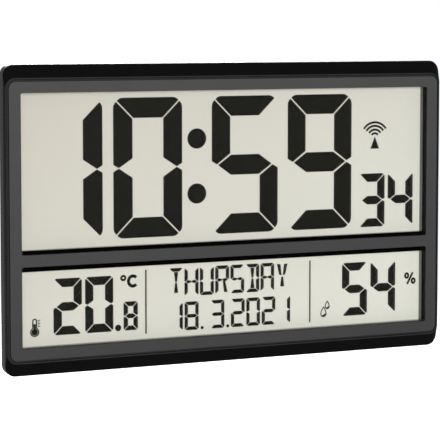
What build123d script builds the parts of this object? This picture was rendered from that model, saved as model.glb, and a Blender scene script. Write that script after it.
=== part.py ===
from build123d import *
import os

# Radio-controlled wall clock with two liquid crystal displays, set keys, a battery bay and a stand.
# The origin is the middle of the rear face that lies on the wall. +X is to the right seen from the front,
# +Z is up and +Y goes into the wall. A "height" is a distance in front of the wall, along -Y.
# All sizes are in millimetres.

# Outline of the case
clock_width = 360.0
clock_height = 230.0
corner_radius = 8.0

# Front housing: sloped rim, ridge and groove round the facing, side walls
rim_side_bevel = 0.6
rim_end_bevel = 9.7
rim_bevel_depth = 3.5
rim_edge_fillet = 1.0
rim_edge_tolerance = 0.01
ridge_width = 1.3
ridge_drop = 1.0
ridge_fillet = 0.4
groove_width = 1.3
side_wall_depth = 9.5
housing_wall = 2.2
front_wall = 3.1

# Facing and its windows
facing_thickness = 1.8
facing_radius = 5.5
facing_fillet = 0.4
window_side_margin = 9.1
window_end_margin = 8.4
window_radius = 1.5
mid_bar_height = 9.0
mid_bar_drop = 29.2

# Clear window sheet
lens_thickness = 1.6
lens_overlap = 3.4

# Display holder, which is also the mask round the glasses
holder_side_overlap = 4.6
holder_end_overlap = 4.0
mask_side = 0.2
mask_above_bar = 2.5
mask_below_bar = 4.35

# Liquid crystal glasses and what lies behind them
lcd_setback = 11.0
lcd_thickness = 2.2
lcd_border = 1.8
lcd_ledge = 5.0
lcd_clearance = 0.25
reflector_thickness = 0.4
zebra_thickness = 2.4
zebra_height = 3.6
zebra_end_margin = 20.0

# Rear cover
rear_wall = 2.2
rear_inset = 7.0
cover_step = 1.0
cover_edge_fillet = 1.2
lip_clearance = 0.2
lip_wall = 1.2
lip_height = 2.5
lip_root = 1.5
clamp_post_radius = 2.5
clamp_post_x = 110.0

# Case screws
case_screw_end_margin = 12.0
case_screw_side_margin = 15.0
case_screw_inner_x = 55.0
case_screw_length = 13.0
screw_shank_radius = 1.4
screw_head_radius = 2.8
screw_head_height = 2.0
screw_recess_width = 0.7
screw_recess_length = 3.2
screw_recess_depth = 1.1
screw_hole_clearance = 0.3
thread_clearance = 0.05
boss_radius = 3.2
pillar_radius = 4.4
pillar_floor = 6.0
pilot_spare = 0.5

# Battery bay and cells
cell_radius = 7.25
cell_length = 50.5
cell_nub_radius = 2.75
cell_nub_length = 1.0
cell_fillet = 0.8
cell_clearance = 0.2
cell_spacing = 0.7
bay_wall = 1.2
bay_top_gap = 0.5
contact_room = 3.8
contact_strip = 0.4
contact_height = 10.0
contact_width = 10.0
contact_touch = 0.05
leaf_tip_wall = 0.6
leaf_side_wall = 0.8
stack_clearance = 0.3

# Battery door and its rails
door_overlap = 4.0
door_end_overlap = 3.0
door_thickness = 1.85
door_sink = 0.15
door_clearance = 0.2
runner_width = 2.0
runner_lip = 1.6
runner_thickness = 1.0
rail_wall = 2.0
rail_floor = 1.9
grip_length = 22.0
grip_width = 1.6
grip_pitch = 3.6
grip_depth = 0.7
grip_count = 4

# Fold-out stand
stand_width = 80.0
stand_length = 68.0
stand_thickness = 3.0
stand_radius = 6.0
stand_sink = 0.4
stand_tip_margin = 4.0
stand_clearance = 0.5
stand_panel_margin = 9.0
stand_panel_depth = 0.8
barrel_radius = 2.3
hinge_pin_radius = 1.2
hinge_pin_seat = 5.0
hinge_running_clearance = 0.08
hinge_seat_clearance = 0.03
recess_wall = 1.6
finger_notch_radius = 7.0

# Set keys on the back
button_radius = 3.5
button_sink = 0.4
button_gap = 0.3
button_flange_radius = 4.8
button_flange = 1.0
button_stem_radius = 1.5
button_stem_entry = 1.1
button_travel = 0.8
button_fillet = 0.5
button_pitch = 17.0
button_side_margin = 30.0
button_row_z = 20.0
button_names = ["set_button", "plus_button", "minus_button", "signal_button"]
switch_size = 6.0
switch_height = 3.5
switch_gap = 2.2
switch_well_radius = 2.0
switch_well_spare = 0.6

# Circuit boards
board_thickness = 1.6
main_board_width = 300.0
main_board_height = 46.0
main_board_screw_margin = 10.0
main_board_screw_inner_x = 47.0
small_board_thickness = 1.2
button_board_margin = 8.0
button_board_height = 16.0
radio_board_width = 24.0
radio_board_height = 16.0
radio_board_bay_gap = 15.75
sensor_board_width = 22.0
sensor_board_height = 14.0
sensor_board_side_margin = 55.0
sensor_board_bottom_margin = 38.0
small_board_lift = 3.8
board_post_radius = 2.2
board_screw_radius = 0.9
board_screw_head_radius = 1.8
board_screw_head_height = 1.2
board_screw_length = 5.0
board_screw_edge = 3.0

# Parts on the boards
blob_radius = 7.0
blob_height = 1.8
blob_fillet = 1.2
blob_x = -20.0
crystal_radius = 1.5
crystal_length = 8.0
crystal_x = 12.0
capacitor_radius = 3.0
capacitor_height = 5.0
capacitor_margin = 46.0
capacitor_pitch = 8.0
capacitor_count = 2
chip_size = 5.0
chip_height = 1.2

# Time-signal aerial
ferrite_radius = 4.0
ferrite_length = 60.0
ferrite_board_gap = 5.0
ferrite_drop = 6.0
ferrite_lift = 7.0
coil_thickness = 1.55
coil_length = 22.0
saddle_thickness = 3.0
saddle_width = 13.0
saddle_inset = 6.0
aerial_clearance = 0.05

# Leads
lead_radius = 0.6
lead_bend = 1.5
lead_reach = 7.0
lead_pitch = 4.0
lead_hole_clearance = 0.2
ribbon_width = 6.0
ribbon_thickness = 0.5
ribbon_foot = 4.5

# Hanging keyholes and vent slots
keyhole_x = 100.0
keyhole_z = 60.0
keyhole_entry_radius = 4.5
keyhole_slot_radius = 2.1
keyhole_slot_length = 8.0
vent_length = 14.0
vent_width = 1.6
vent_pitch = 4.0
vent_count = 5

os.makedirs("parts", exist_ok=True)

# Heights of the stack, from the wall to the front: cells, glasses, facing
cell_axis = rear_wall + cell_radius
bay_floor = cell_axis + cell_radius + cell_clearance
reflector_rear = bay_floor + bay_wall + stack_clearance
lcd_rear = reflector_rear + reflector_thickness
lcd_front = lcd_rear + lcd_thickness
clock_depth = lcd_front + lcd_setback
facing_seat = clock_depth - facing_thickness
front_wall_rear = facing_seat - front_wall
lens_rear = front_wall_rear - lens_thickness
ridge_front = clock_depth - ridge_drop
rim_base = ridge_front - rim_bevel_depth
housing_rear = rim_base - side_wall_depth
board_front = lcd_rear - zebra_height
board_rear = board_front - board_thickness

# Outlines seen from the front
ridge_outline = (clock_width - 2 * rim_side_bevel, clock_height - 2 * rim_end_bevel)
groove_outline = (ridge_outline[0] - 2 * ridge_width, ridge_outline[1] - 2 * ridge_width)
facing_outline = (groove_outline[0] - 2 * groove_width, groove_outline[1] - 2 * groove_width)
hollow_outline = (clock_width - 2 * housing_wall, clock_height - 2 * housing_wall)
window_width = facing_outline[0] - 2 * window_side_margin
window_top = facing_outline[1] / 2 - window_end_margin
mid_bar_top = -mid_bar_drop + mid_bar_height / 2
mid_bar_bottom = -mid_bar_drop - mid_bar_height / 2
windows_height = 2 * window_top

# Seen part and full outline of each glass, as (bottom, top) heights up the face
seen_width = window_width - 2 * mask_side
time_seen = (mid_bar_top + mask_above_bar, window_top + mask_side)
weather_seen = (-window_top - mask_side, mid_bar_bottom - mask_below_bar)
lcd_width = seen_width + 2 * lcd_border
time_glass = (time_seen[0] - lcd_border, time_seen[1] + lcd_border)
weather_glass = (weather_seen[0] - lcd_border, weather_seen[1] + lcd_border)
holder_outline = (window_width + 2 * holder_side_overlap, windows_height + 2 * holder_end_overlap)
main_board_z = (time_glass[0] + weather_glass[1]) / 2

# Places of the case screws
case_screw_z = clock_height / 2 - case_screw_end_margin
case_screw_outer_x = clock_width / 2 - case_screw_side_margin
case_screw_points = [
    (x, z)
    for z in (-case_screw_z, case_screw_z)
    for x in (-case_screw_outer_x, -case_screw_inner_x, case_screw_inner_x, case_screw_outer_x)
]
screw_seat = housing_rear - pillar_floor

# Rear outline of the cover, and the battery bay at its top
rear_outline = (clock_width - 2 * rear_inset, clock_height - 2 * rear_inset)
cover_outline = (clock_width - 2 * cover_step, clock_height - 2 * cover_step)
bay_half_length = cell_length / 2 + contact_room
bay_height = 4 * cell_radius + 3 * cell_spacing
bay_top = time_seen[1] - bay_top_gap
bay_bottom = bay_top - bay_height
cell_z = [bay_bottom + cell_spacing + cell_radius, bay_top - cell_spacing - cell_radius]
door_half_width = bay_half_length + door_overlap
door_bottom = bay_bottom - door_end_overlap
door_top = rear_outline[1] / 2 - door_clearance
door_front = door_sink + door_thickness
runner_rear = rear_wall + door_clearance
runner_front = runner_rear + runner_thickness
rail_top = runner_front + door_clearance
rail_front = rail_top + rail_floor

# Stand hinge
hinge_height = barrel_radius + door_sink
hinge_z = -rear_outline[1] / 2 + stand_tip_margin + stand_length
leg_front = stand_sink + stand_thickness
leg_recess = leg_front + stand_clearance
barrel_recess = hinge_height + barrel_radius + stand_clearance
recess_half_width = stand_width / 2 + stand_clearance
recess_top = hinge_z + barrel_radius + stand_clearance
recess_bottom = hinge_z - stand_length - stand_clearance
recess_block_half_width = recess_half_width + hinge_pin_seat + recess_wall

# Set keys and their board
button_x = [-clock_width / 2 + button_side_margin + i * button_pitch for i in range(len(button_names))]
flange_rear = rear_wall + button_gap
flange_front = flange_rear + button_flange
switch_rear = flange_front + button_travel + switch_gap
stem_front = switch_rear + button_stem_entry
switch_well = button_stem_entry + button_travel + switch_well_spare
button_board_rear = switch_rear + switch_height
button_board_front = button_board_rear + small_board_thickness
button_board_x = (button_x[0] + button_x[-1]) / 2
button_board_width = button_x[-1] - button_x[0] + 2 * (button_board_margin + board_screw_edge)

# Screws and capacitors of the main board
main_board_screw_outer_x = main_board_width / 2 - main_board_screw_margin
main_board_screw_x = [
    -main_board_screw_outer_x, -main_board_screw_inner_x, main_board_screw_inner_x, main_board_screw_outer_x
]
capacitor_x = [-main_board_width / 2 + capacitor_margin + i * capacitor_pitch for i in range(capacitor_count)]

# Receiver board beside the battery bay, aerial rod beside it, and sensor board
small_board_rear = rear_wall + small_board_lift
small_board_front = small_board_rear + small_board_thickness
radio_board_x = bay_half_length + bay_wall + radio_board_bay_gap + radio_board_width / 2
ferrite_x = radio_board_x + radio_board_width / 2 + ferrite_board_gap + ferrite_length / 2
sensor_board_x = clock_width / 2 - sensor_board_side_margin
aerial_z = bay_top - ferrite_drop
aerial_height = rear_wall + ferrite_lift
sensor_board_z = -clock_height / 2 + sensor_board_bottom_margin


def in_front(height):
    """Plane parallel to the wall, the given height in front of it."""
    return Plane.XZ.offset(height)


def end_points(x, z, width):
    """Two screw places, one near each end of a small board centred on x and z."""
    reach = width / 2 - board_screw_edge
    return [(x - reach, z), (x + reach, z)]


def window_outlines(mode):
    """Both window openings, drawn in the open sketch."""
    with Locations((0, (window_top + mid_bar_top) / 2)):
        RectangleRounded(window_width, window_top - mid_bar_top, window_radius, mode=mode)
    with Locations((0, (mid_bar_bottom - window_top) / 2)):
        RectangleRounded(window_width, window_top + mid_bar_bottom, window_radius, mode=mode)


def band(width, span, grow=0.0):
    """Rectangle of the given width between two heights up the face, drawn in the open sketch."""
    with Locations((0, (span[0] + span[1]) / 2)):
        Rectangle(width + 2 * grow, span[1] - span[0] + 2 * grow)


def save(builder, name):
    """Labels a finished piece and writes its file."""
    builder.part.label = name
    export_step(builder.part, f"parts/{name}.step")


button_board_posts = end_points(button_board_x, button_row_z, button_board_width)
radio_board_posts = end_points(radio_board_x, aerial_z, radio_board_width)
sensor_board_posts = end_points(sensor_board_x, sensor_board_z, sensor_board_width)

# Front housing
with BuildPart() as front_housing:
    with BuildSketch(in_front(housing_rear)):
        RectangleRounded(clock_width, clock_height, corner_radius)
    extrude(amount=side_wall_depth)
    with BuildSketch(in_front(rim_base)):
        RectangleRounded(clock_width, clock_height, corner_radius)
    with BuildSketch(in_front(ridge_front)):
        RectangleRounded(*ridge_outline, facing_radius + groove_width + ridge_width)
    loft(ruled=True)
    with BuildSketch(in_front(facing_seat)):
        RectangleRounded(*groove_outline, facing_radius + groove_width)
    extrude(amount=ridge_front - facing_seat, mode=Mode.SUBTRACT)
    ridge_face = front_housing.faces().filter_by(Axis.Y).sort_by(Axis.Y)[0]
    fillet(ridge_face.edges(), ridge_fillet)
    rim_edges = front_housing.edges().filter_by_position(
        Axis.Y, -rim_base - rim_edge_tolerance, -rim_base + rim_edge_tolerance
    )
    fillet(rim_edges, rim_edge_fillet)
    with BuildSketch(in_front(housing_rear)):
        RectangleRounded(*hollow_outline, corner_radius - housing_wall)
    extrude(amount=front_wall_rear - housing_rear, mode=Mode.SUBTRACT)
    with BuildSketch(in_front(front_wall_rear)):
        window_outlines(Mode.ADD)
    extrude(amount=front_wall, mode=Mode.SUBTRACT)
    with BuildSketch(in_front(housing_rear)):
        with Locations(*case_screw_points):
            Circle(boss_radius)
    extrude(amount=front_wall_rear - housing_rear)
    with BuildSketch(in_front(housing_rear)):
        with Locations(*case_screw_points):
            Circle(screw_shank_radius + thread_clearance)
    extrude(amount=case_screw_length - pillar_floor + pilot_spare, mode=Mode.SUBTRACT)
save(front_housing, "front_housing")

# Facing with the bar between the windows
with BuildPart() as bezel_facing:
    with BuildSketch(in_front(facing_seat)):
        RectangleRounded(*facing_outline, facing_radius)
        window_outlines(Mode.SUBTRACT)
    extrude(amount=facing_thickness)
    fillet(bezel_facing.faces().sort_by(Axis.Y)[0].edges(), facing_fillet)
save(bezel_facing, "bezel_facing")

# Clear window sheet behind the front wall
with BuildPart() as window_lens:
    with BuildSketch(in_front(lens_rear)):
        RectangleRounded(window_width + 2 * lens_overlap, windows_height + 2 * lens_overlap, window_radius)
    extrude(amount=lens_thickness)
save(window_lens, "window_lens")

# Display holder: openings for what is seen of each glass, with pockets for the glasses behind
with BuildPart() as display_holder:
    with BuildSketch(in_front(board_front)):
        RectangleRounded(*holder_outline, window_radius)
    extrude(amount=lens_rear - board_front)
    with BuildSketch(in_front(board_front)):
        band(seen_width, time_seen)
        band(seen_width, weather_seen)
    extrude(amount=lens_rear - board_front, mode=Mode.SUBTRACT)
    with BuildSketch(in_front(board_front)):
        band(lcd_width, time_glass, lcd_clearance)
        band(lcd_width, weather_glass, lcd_clearance)
    extrude(amount=lcd_front - board_front, mode=Mode.SUBTRACT)
    with BuildSketch(in_front(board_front)):
        with Locations(*[(x, main_board_z) for x in main_board_screw_x]):
            Circle(board_screw_radius + thread_clearance)
    extrude(amount=board_screw_length - board_thickness + pilot_spare, mode=Mode.SUBTRACT)
save(display_holder, "display_holder")

# The two glasses, with a reflector behind each that leaves the connector ledge bare
time_ledge = time_glass[0] + lcd_ledge
weather_ledge = weather_glass[1] - lcd_ledge
glasses = {
    "time": (time_glass, (time_ledge, time_glass[1]), time_ledge - lcd_ledge / 2),
    "weather": (weather_glass, (weather_glass[0], weather_ledge), weather_ledge + lcd_ledge / 2),
}
for display, (glass, backed, ledge_z) in glasses.items():
    with BuildPart() as lcd_glass:
        with BuildSketch(in_front(lcd_rear)):
            band(lcd_width, glass)
        extrude(amount=lcd_thickness)
    save(lcd_glass, f"lcd_{display}")
    with BuildPart() as reflector:
        with BuildSketch(in_front(reflector_rear)):
            band(lcd_width, backed)
        extrude(amount=reflector_thickness)
    save(reflector, f"lcd_{display}_reflector")
    with BuildPart() as zebra_strip:
        with BuildSketch(in_front(board_front)):
            with Locations((0, ledge_z)):
                Rectangle(main_board_width - 2 * zebra_end_margin, zebra_thickness)
        extrude(amount=zebra_height)
    save(zebra_strip, f"zebra_strip_{display}")

# Rear cover: tapered tray with a lip, screw pillars, bay, rails, stand recess, posts, keyholes and vents
with BuildPart() as rear_cover:
    with BuildSketch(in_front(0)):
        RectangleRounded(*rear_outline, corner_radius)
    with BuildSketch(in_front(housing_rear)):
        RectangleRounded(*cover_outline, corner_radius)
    loft(ruled=True)
    fillet(rear_cover.faces().sort_by(Axis.Y)[-1].edges(), cover_edge_fillet)
    with BuildSketch(in_front(rear_wall)):
        RectangleRounded(*[side - 2 * rear_wall for side in rear_outline], corner_radius - rear_wall)
    with BuildSketch(in_front(housing_rear)):
        RectangleRounded(*[side - 2 * rear_wall for side in cover_outline], corner_radius - rear_wall)
    loft(ruled=True, mode=Mode.SUBTRACT)
    with BuildSketch(in_front(housing_rear - lip_root)):
        RectangleRounded(*[side - 2 * lip_clearance for side in hollow_outline], corner_radius - housing_wall)
        RectangleRounded(
            *[side - 2 * (lip_clearance + lip_wall) for side in hollow_outline],
            corner_radius - housing_wall - lip_wall,
            mode=Mode.SUBTRACT,
        )
    extrude(amount=lip_root + lip_height)
    # Pillars that take the case screws
    with BuildSketch(in_front(rear_wall)):
        with Locations(*case_screw_points):
            Circle(pillar_radius)
    extrude(amount=housing_rear - rear_wall)
    with BuildSketch(in_front(0)):
        with Locations(*case_screw_points):
            Circle(screw_head_radius + screw_hole_clearance)
    extrude(amount=screw_seat, mode=Mode.SUBTRACT)
    with BuildSketch(in_front(0)):
        with Locations(*case_screw_points):
            Circle(screw_shank_radius + screw_hole_clearance)
    extrude(amount=housing_rear, mode=Mode.SUBTRACT)
    # Posts that press the display holder against the window sheet
    holder_wall_z = (holder_outline[1] / 2 + time_glass[1] + lcd_clearance) / 2
    with BuildSketch(in_front(rear_wall)):
        with GridLocations(2 * clamp_post_x, 2 * holder_wall_z, 2, 2):
            Circle(clamp_post_radius)
    extrude(amount=board_front - rear_wall)
    # Battery bay and the rails of its door
    rail_height = rear_outline[1] / 2 - rear_wall - door_bottom + rail_wall
    with BuildSketch(in_front(rear_wall)):
        with Locations((0, door_bottom - rail_wall)):
            Rectangle(
                2 * (door_half_width + runner_lip + door_clearance + rail_wall),
                rail_height,
                align=(Align.CENTER, Align.MIN),
            )
    extrude(amount=rail_front - rear_wall)
    with BuildSketch(in_front(rear_wall)):
        band(2 * bay_half_length, (bay_bottom, bay_top), bay_wall)
    extrude(amount=bay_floor + bay_wall - rear_wall)
    with BuildSketch(in_front(0)):
        band(2 * bay_half_length, (bay_bottom, bay_top))
    extrude(amount=bay_floor, mode=Mode.SUBTRACT)
    with BuildSketch(Plane.XY.offset(door_bottom - door_clearance)):
        Rectangle(2 * (door_half_width + door_clearance), 2 * rail_top)
        with Locations((0, -(rear_wall + rail_top) / 2)):
            Rectangle(2 * (door_half_width + runner_lip + door_clearance), rail_top - rear_wall)
    extrude(amount=clock_height / 2 - door_bottom, mode=Mode.SUBTRACT)
    with BuildSketch(Plane.YZ.offset(bay_half_length)):
        with Locations(*[(-cell_axis, z) for z in cell_z]):
            Circle(lead_radius + lead_hole_clearance)
    extrude(amount=bay_wall, mode=Mode.SUBTRACT)
    # Stand recess with its deeper hinge trough, finger notch and pin seats
    with BuildSketch(in_front(rear_wall)):
        with Locations((0, (recess_top + recess_bottom) / 2)):
            Rectangle(2 * recess_block_half_width, recess_top - recess_bottom + 2 * recess_wall)
    extrude(amount=barrel_recess + recess_wall - rear_wall)
    with BuildSketch(in_front(0)):
        with Locations((0, (recess_top + recess_bottom) / 2)):
            Rectangle(2 * recess_half_width, recess_top - recess_bottom)
        with Locations((0, recess_bottom)):
            Circle(finger_notch_radius)
        split(bisect_by=Plane.XZ.offset(rear_outline[1] / 2 - rear_wall), keep=Keep.BOTTOM)
    extrude(amount=leg_recess, mode=Mode.SUBTRACT)
    with BuildSketch(in_front(0)):
        with Locations((0, hinge_z)):
            Rectangle(2 * recess_half_width, 2 * (recess_top - hinge_z))
    extrude(amount=barrel_recess, mode=Mode.SUBTRACT)
    with BuildSketch(Plane.YZ.offset(-recess_half_width - hinge_pin_seat)):
        with Locations((-hinge_height, hinge_z)):
            Circle(hinge_pin_radius + hinge_seat_clearance)
    extrude(amount=2 * (recess_half_width + hinge_pin_seat), mode=Mode.SUBTRACT)
    # Posts under the small boards, with pilot holes
    with BuildSketch(in_front(rear_wall)):
        with Locations(*button_board_posts):
            Circle(board_post_radius)
    extrude(amount=button_board_rear - rear_wall)
    with BuildSketch(in_front(rear_wall)):
        with Locations(*radio_board_posts, *sensor_board_posts):
            Circle(board_post_radius)
    extrude(amount=small_board_rear - rear_wall)
    pilot_depth = board_screw_length - small_board_thickness + thread_clearance
    with BuildSketch(in_front(button_board_rear)):
        with Locations(*button_board_posts):
            Circle(board_screw_radius + thread_clearance)
    extrude(amount=-pilot_depth, mode=Mode.SUBTRACT)
    with BuildSketch(in_front(small_board_rear)):
        with Locations(*radio_board_posts, *sensor_board_posts):
            Circle(board_screw_radius + thread_clearance)
    extrude(amount=-pilot_depth, mode=Mode.SUBTRACT)
    # Saddles of the aerial rod
    saddle_reach = ferrite_length / 2 - saddle_inset
    with BuildSketch(in_front(rear_wall)):
        with Locations((ferrite_x - saddle_reach, aerial_z), (ferrite_x + saddle_reach, aerial_z)):
            Rectangle(saddle_thickness, saddle_width)
    extrude(amount=aerial_height - rear_wall)
    with BuildSketch(Plane.YZ.offset(ferrite_x - ferrite_length / 2)):
        with Locations((-aerial_height, aerial_z)):
            Circle(ferrite_radius + aerial_clearance)
    extrude(amount=ferrite_length, mode=Mode.SUBTRACT)
    # Button holes, keyholes and vent slots
    with BuildSketch(in_front(0)):
        with Locations(*[(x, button_row_z) for x in button_x]):
            Circle(button_radius + button_gap)
        with Locations((-keyhole_x, keyhole_z), (keyhole_x, keyhole_z)):
            Circle(keyhole_entry_radius)
        with Locations(
            (-keyhole_x, keyhole_z + keyhole_slot_length / 2),
            (keyhole_x, keyhole_z + keyhole_slot_length / 2),
        ):
            SlotCenterToCenter(keyhole_slot_length, 2 * keyhole_slot_radius, rotation=90)
        with Locations((sensor_board_x, sensor_board_z)):
            with GridLocations(0, vent_pitch, 1, vent_count):
                SlotOverall(vent_length, vent_width)
    extrude(amount=rear_wall, mode=Mode.SUBTRACT)
save(rear_cover, "rear_cover")

# Case screws, driven from the back
with BuildPart() as case_screws:
    with BuildSketch(in_front(screw_seat - screw_head_height)):
        with Locations(*case_screw_points):
            Circle(screw_head_radius)
    extrude(amount=screw_head_height)
    with BuildSketch(in_front(screw_seat)):
        with Locations(*case_screw_points):
            Circle(screw_shank_radius)
    extrude(amount=case_screw_length)
    with BuildSketch(in_front(screw_seat - screw_head_height)):
        with Locations(*case_screw_points):
            Rectangle(screw_recess_length, screw_recess_width)
            Rectangle(screw_recess_width, screw_recess_length)
    extrude(amount=screw_recess_depth, mode=Mode.SUBTRACT)
save(case_screws, "case_screws")

# Battery door with a runner along each side and grip grooves
with BuildPart() as battery_door:
    with BuildSketch(in_front(door_sink)):
        band(2 * door_half_width, (door_bottom, door_top))
    extrude(amount=door_thickness)
    with BuildSketch(Plane.XY.offset(door_bottom)):
        for side in (-1, 1):
            web_x = side * (door_half_width - runner_width / 2)
            with Locations((web_x, -(door_front + runner_front) / 2)):
                Rectangle(runner_width, runner_front - door_front)
            with Locations((web_x + side * runner_lip / 2, -(runner_rear + runner_front) / 2)):
                Rectangle(runner_width + runner_lip, runner_thickness)
    extrude(amount=door_top - door_bottom)
    with BuildSketch(in_front(door_sink)):
        with Locations((0, (bay_top + door_top) / 2 - grip_pitch)):
            with GridLocations(0, grip_pitch, 1, grip_count):
                SlotOverall(grip_length, grip_width)
    extrude(amount=grip_depth, mode=Mode.SUBTRACT)
save(battery_door, "battery_door")

# Cells, side by side and pointing opposite ways: the lower one's nub meets the link, and the upper one's
# the contact of the positive lead
cell_ways = (-1, 1)
with BuildPart() as battery_cells:
    for z, direction in zip(cell_z, cell_ways):
        with BuildSketch(Plane.YZ.offset(-direction * cell_length / 2)):
            with Locations((-cell_axis, z)):
                Circle(cell_radius)
        extrude(amount=direction * (cell_length - cell_nub_length))
    fillet(battery_cells.edges().filter_by(GeomType.CIRCLE), cell_fillet)
    for z, direction in zip(cell_z, cell_ways):
        with BuildSketch(Plane.YZ.offset(direction * (cell_length / 2 - cell_nub_length))):
            with Locations((-cell_axis, z)):
                Circle(cell_nub_radius)
        extrude(amount=direction * cell_nub_length)
save(battery_cells, "battery_cells")

# Leaf contacts: a plate on the bay's end wall with a bowed strip that reaches the cell
leaf_reach = contact_room - contact_touch
leaf_half = contact_height / 2 - contact_strip


def leaf_outline(end):
    """Plan of one bowed strip at the bay's right (+1) or left (-1) end, drawn in the open sketch."""
    wall = end * (bay_half_length - contact_strip)
    tip = end * (bay_half_length - leaf_reach)
    inner_tip = end * (bay_half_length - leaf_reach + leaf_tip_wall)
    inner_half = leaf_half - leaf_side_wall
    Polygon((wall, -cell_axis - leaf_half), (tip, -cell_axis), (wall, -cell_axis + leaf_half), align=None)
    Polygon(
        (wall, -cell_axis - inner_half),
        (inner_tip, -cell_axis),
        (wall, -cell_axis + inner_half),
        align=None,
        mode=Mode.SUBTRACT,
    )


with BuildPart() as battery_contacts:
    for z in cell_z:
        with BuildSketch(Plane.XY.offset(z - contact_width / 2)):
            with Locations((bay_half_length - contact_strip / 2, -cell_axis)):
                Rectangle(contact_strip, contact_height)
            leaf_outline(1)
        extrude(amount=contact_width)
save(battery_contacts, "battery_contacts")

with BuildPart() as battery_link:
    with BuildSketch(Plane.XY.offset(cell_z[0] - contact_width / 2)):
        with Locations((-bay_half_length + contact_strip / 2, -cell_axis)):
            Rectangle(contact_strip, contact_height)
    extrude(amount=cell_z[1] - cell_z[0] + contact_width)
    for z in cell_z:
        with BuildSketch(Plane.XY.offset(z - contact_width / 2)):
            leaf_outline(-1)
        extrude(amount=contact_width)
save(battery_link, "battery_link")

# Battery leads, from a contact through the bay's end wall and down to the main board
board_top = main_board_z + main_board_height / 2
lead_end_z = board_top - board_screw_edge
for index, (name, z) in enumerate(zip(("battery_lead_negative", "battery_lead_positive"), cell_z)):
    lead_x = bay_half_length + bay_wall + lead_reach + index * lead_pitch
    with BuildPart() as battery_lead:
        with BuildLine() as lead_path:
            FilletPolyline(
                (bay_half_length, -cell_axis, z),
                (lead_x, -cell_axis, z),
                (lead_x, -cell_axis, lead_end_z),
                (lead_x, -board_rear, lead_end_z),
                radius=lead_bend,
            )
        with BuildSketch(Plane(lead_path.line @ 0, z_dir=lead_path.line % 0)):
            Circle(lead_radius)
        sweep()
    save(battery_lead, name)

# Stand leg, its barrel and the pin that carries it
with BuildPart() as stand_leg:
    with BuildSketch(in_front(stand_sink)) as leg_outline:
        with Locations((0, hinge_z)):
            Rectangle(stand_width, stand_length, align=(Align.CENTER, Align.MAX))
        fillet(leg_outline.vertices().group_by(Axis.Y)[0], stand_radius)
    extrude(amount=stand_thickness)
    with BuildSketch(Plane.YZ.offset(-stand_width / 2)):
        with Locations((-hinge_height, hinge_z)):
            Circle(barrel_radius)
    extrude(amount=stand_width)
    with BuildSketch(in_front(stand_sink)):
        with Locations((0, hinge_z - stand_length / 2)):
            RectangleRounded(
                stand_width - 2 * stand_panel_margin,
                stand_length - 2 * stand_panel_margin,
                stand_radius / 2,
            )
    extrude(amount=stand_panel_depth, mode=Mode.SUBTRACT)
    with BuildSketch(Plane.YZ.offset(-stand_width / 2)):
        with Locations((-hinge_height, hinge_z)):
            Circle(hinge_pin_radius + hinge_running_clearance)
    extrude(amount=stand_width, mode=Mode.SUBTRACT)
save(stand_leg, "stand_leg")

with BuildPart() as stand_hinge_pin:
    with BuildSketch(Plane.YZ.offset(-recess_half_width - hinge_pin_seat)):
        with Locations((-hinge_height, hinge_z)):
            Circle(hinge_pin_radius)
    extrude(amount=2 * (recess_half_width + hinge_pin_seat))
save(stand_hinge_pin, "stand_hinge_pin")

# Set keys: cap, flange behind the rear wall and stem into the switch
for name, x in zip(button_names, button_x):
    with BuildPart() as button:
        with BuildSketch(in_front(button_sink)):
            with Locations((x, button_row_z)):
                Circle(button_radius)
        extrude(amount=flange_rear - button_sink)
        fillet(button.faces().sort_by(Axis.Y)[-1].edges(), button_fillet)
        with BuildSketch(in_front(flange_rear)):
            with Locations((x, button_row_z)):
                Circle(button_flange_radius)
        extrude(amount=button_flange)
        with BuildSketch(in_front(flange_front)):
            with Locations((x, button_row_z)):
                Circle(button_stem_radius)
        extrude(amount=stem_front - flange_front)
    save(button, name)

with BuildPart() as tact_switches:
    with BuildSketch(in_front(switch_rear)):
        with Locations(*[(x, button_row_z) for x in button_x]):
            Rectangle(switch_size, switch_size)
    extrude(amount=switch_height)
    with BuildSketch(in_front(switch_rear)):
        with Locations(*[(x, button_row_z) for x in button_x]):
            Circle(switch_well_radius)
    extrude(amount=switch_well, mode=Mode.SUBTRACT)
save(tact_switches, "tact_switches")

# Circuit boards with their screw holes
boards = {
    "main_board": (
        (0, main_board_z, main_board_width, main_board_height),
        (board_rear, board_thickness),
        [(x, main_board_z) for x in main_board_screw_x],
    ),
    "button_board": (
        (button_board_x, button_row_z, button_board_width, button_board_height),
        (button_board_rear, small_board_thickness),
        button_board_posts,
    ),
    "radio_board": (
        (radio_board_x, aerial_z, radio_board_width, radio_board_height),
        (small_board_rear, small_board_thickness),
        radio_board_posts,
    ),
    "sensor_board": (
        (sensor_board_x, sensor_board_z, sensor_board_width, sensor_board_height),
        (small_board_rear, small_board_thickness),
        sensor_board_posts,
    ),
}
for name, ((x, z, width, height), (rear, thickness), holes) in boards.items():
    with BuildPart() as board:
        with BuildSketch(in_front(rear)):
            with Locations((x, z)):
                Rectangle(width, height)
            with Locations(*holes):
                Circle(board_screw_radius + screw_hole_clearance, mode=Mode.SUBTRACT)
        extrude(amount=thickness)
    save(board, name)

# Board screws: the main board's go forwards into the holder, the small boards' go back into posts
screw_sets = {
    "main_board_screws": [(x, z, board_rear, 1) for x, z in boards["main_board"][2]],
    "small_board_screws": [(x, z, button_board_front, -1) for x, z in button_board_posts]
    + [(x, z, small_board_front, -1) for x, z in radio_board_posts + sensor_board_posts],
}
for name, places in screw_sets.items():
    with BuildPart() as board_screws:
        for x, z, seat, forward in places:
            with BuildSketch(in_front(seat)):
                with Locations((x, z)):
                    Circle(board_screw_head_radius)
            extrude(amount=-forward * board_screw_head_height)
            with BuildSketch(in_front(seat)):
                with Locations((x, z)):
                    Circle(board_screw_radius)
            extrude(amount=forward * board_screw_length)
    save(board_screws, name)

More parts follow.
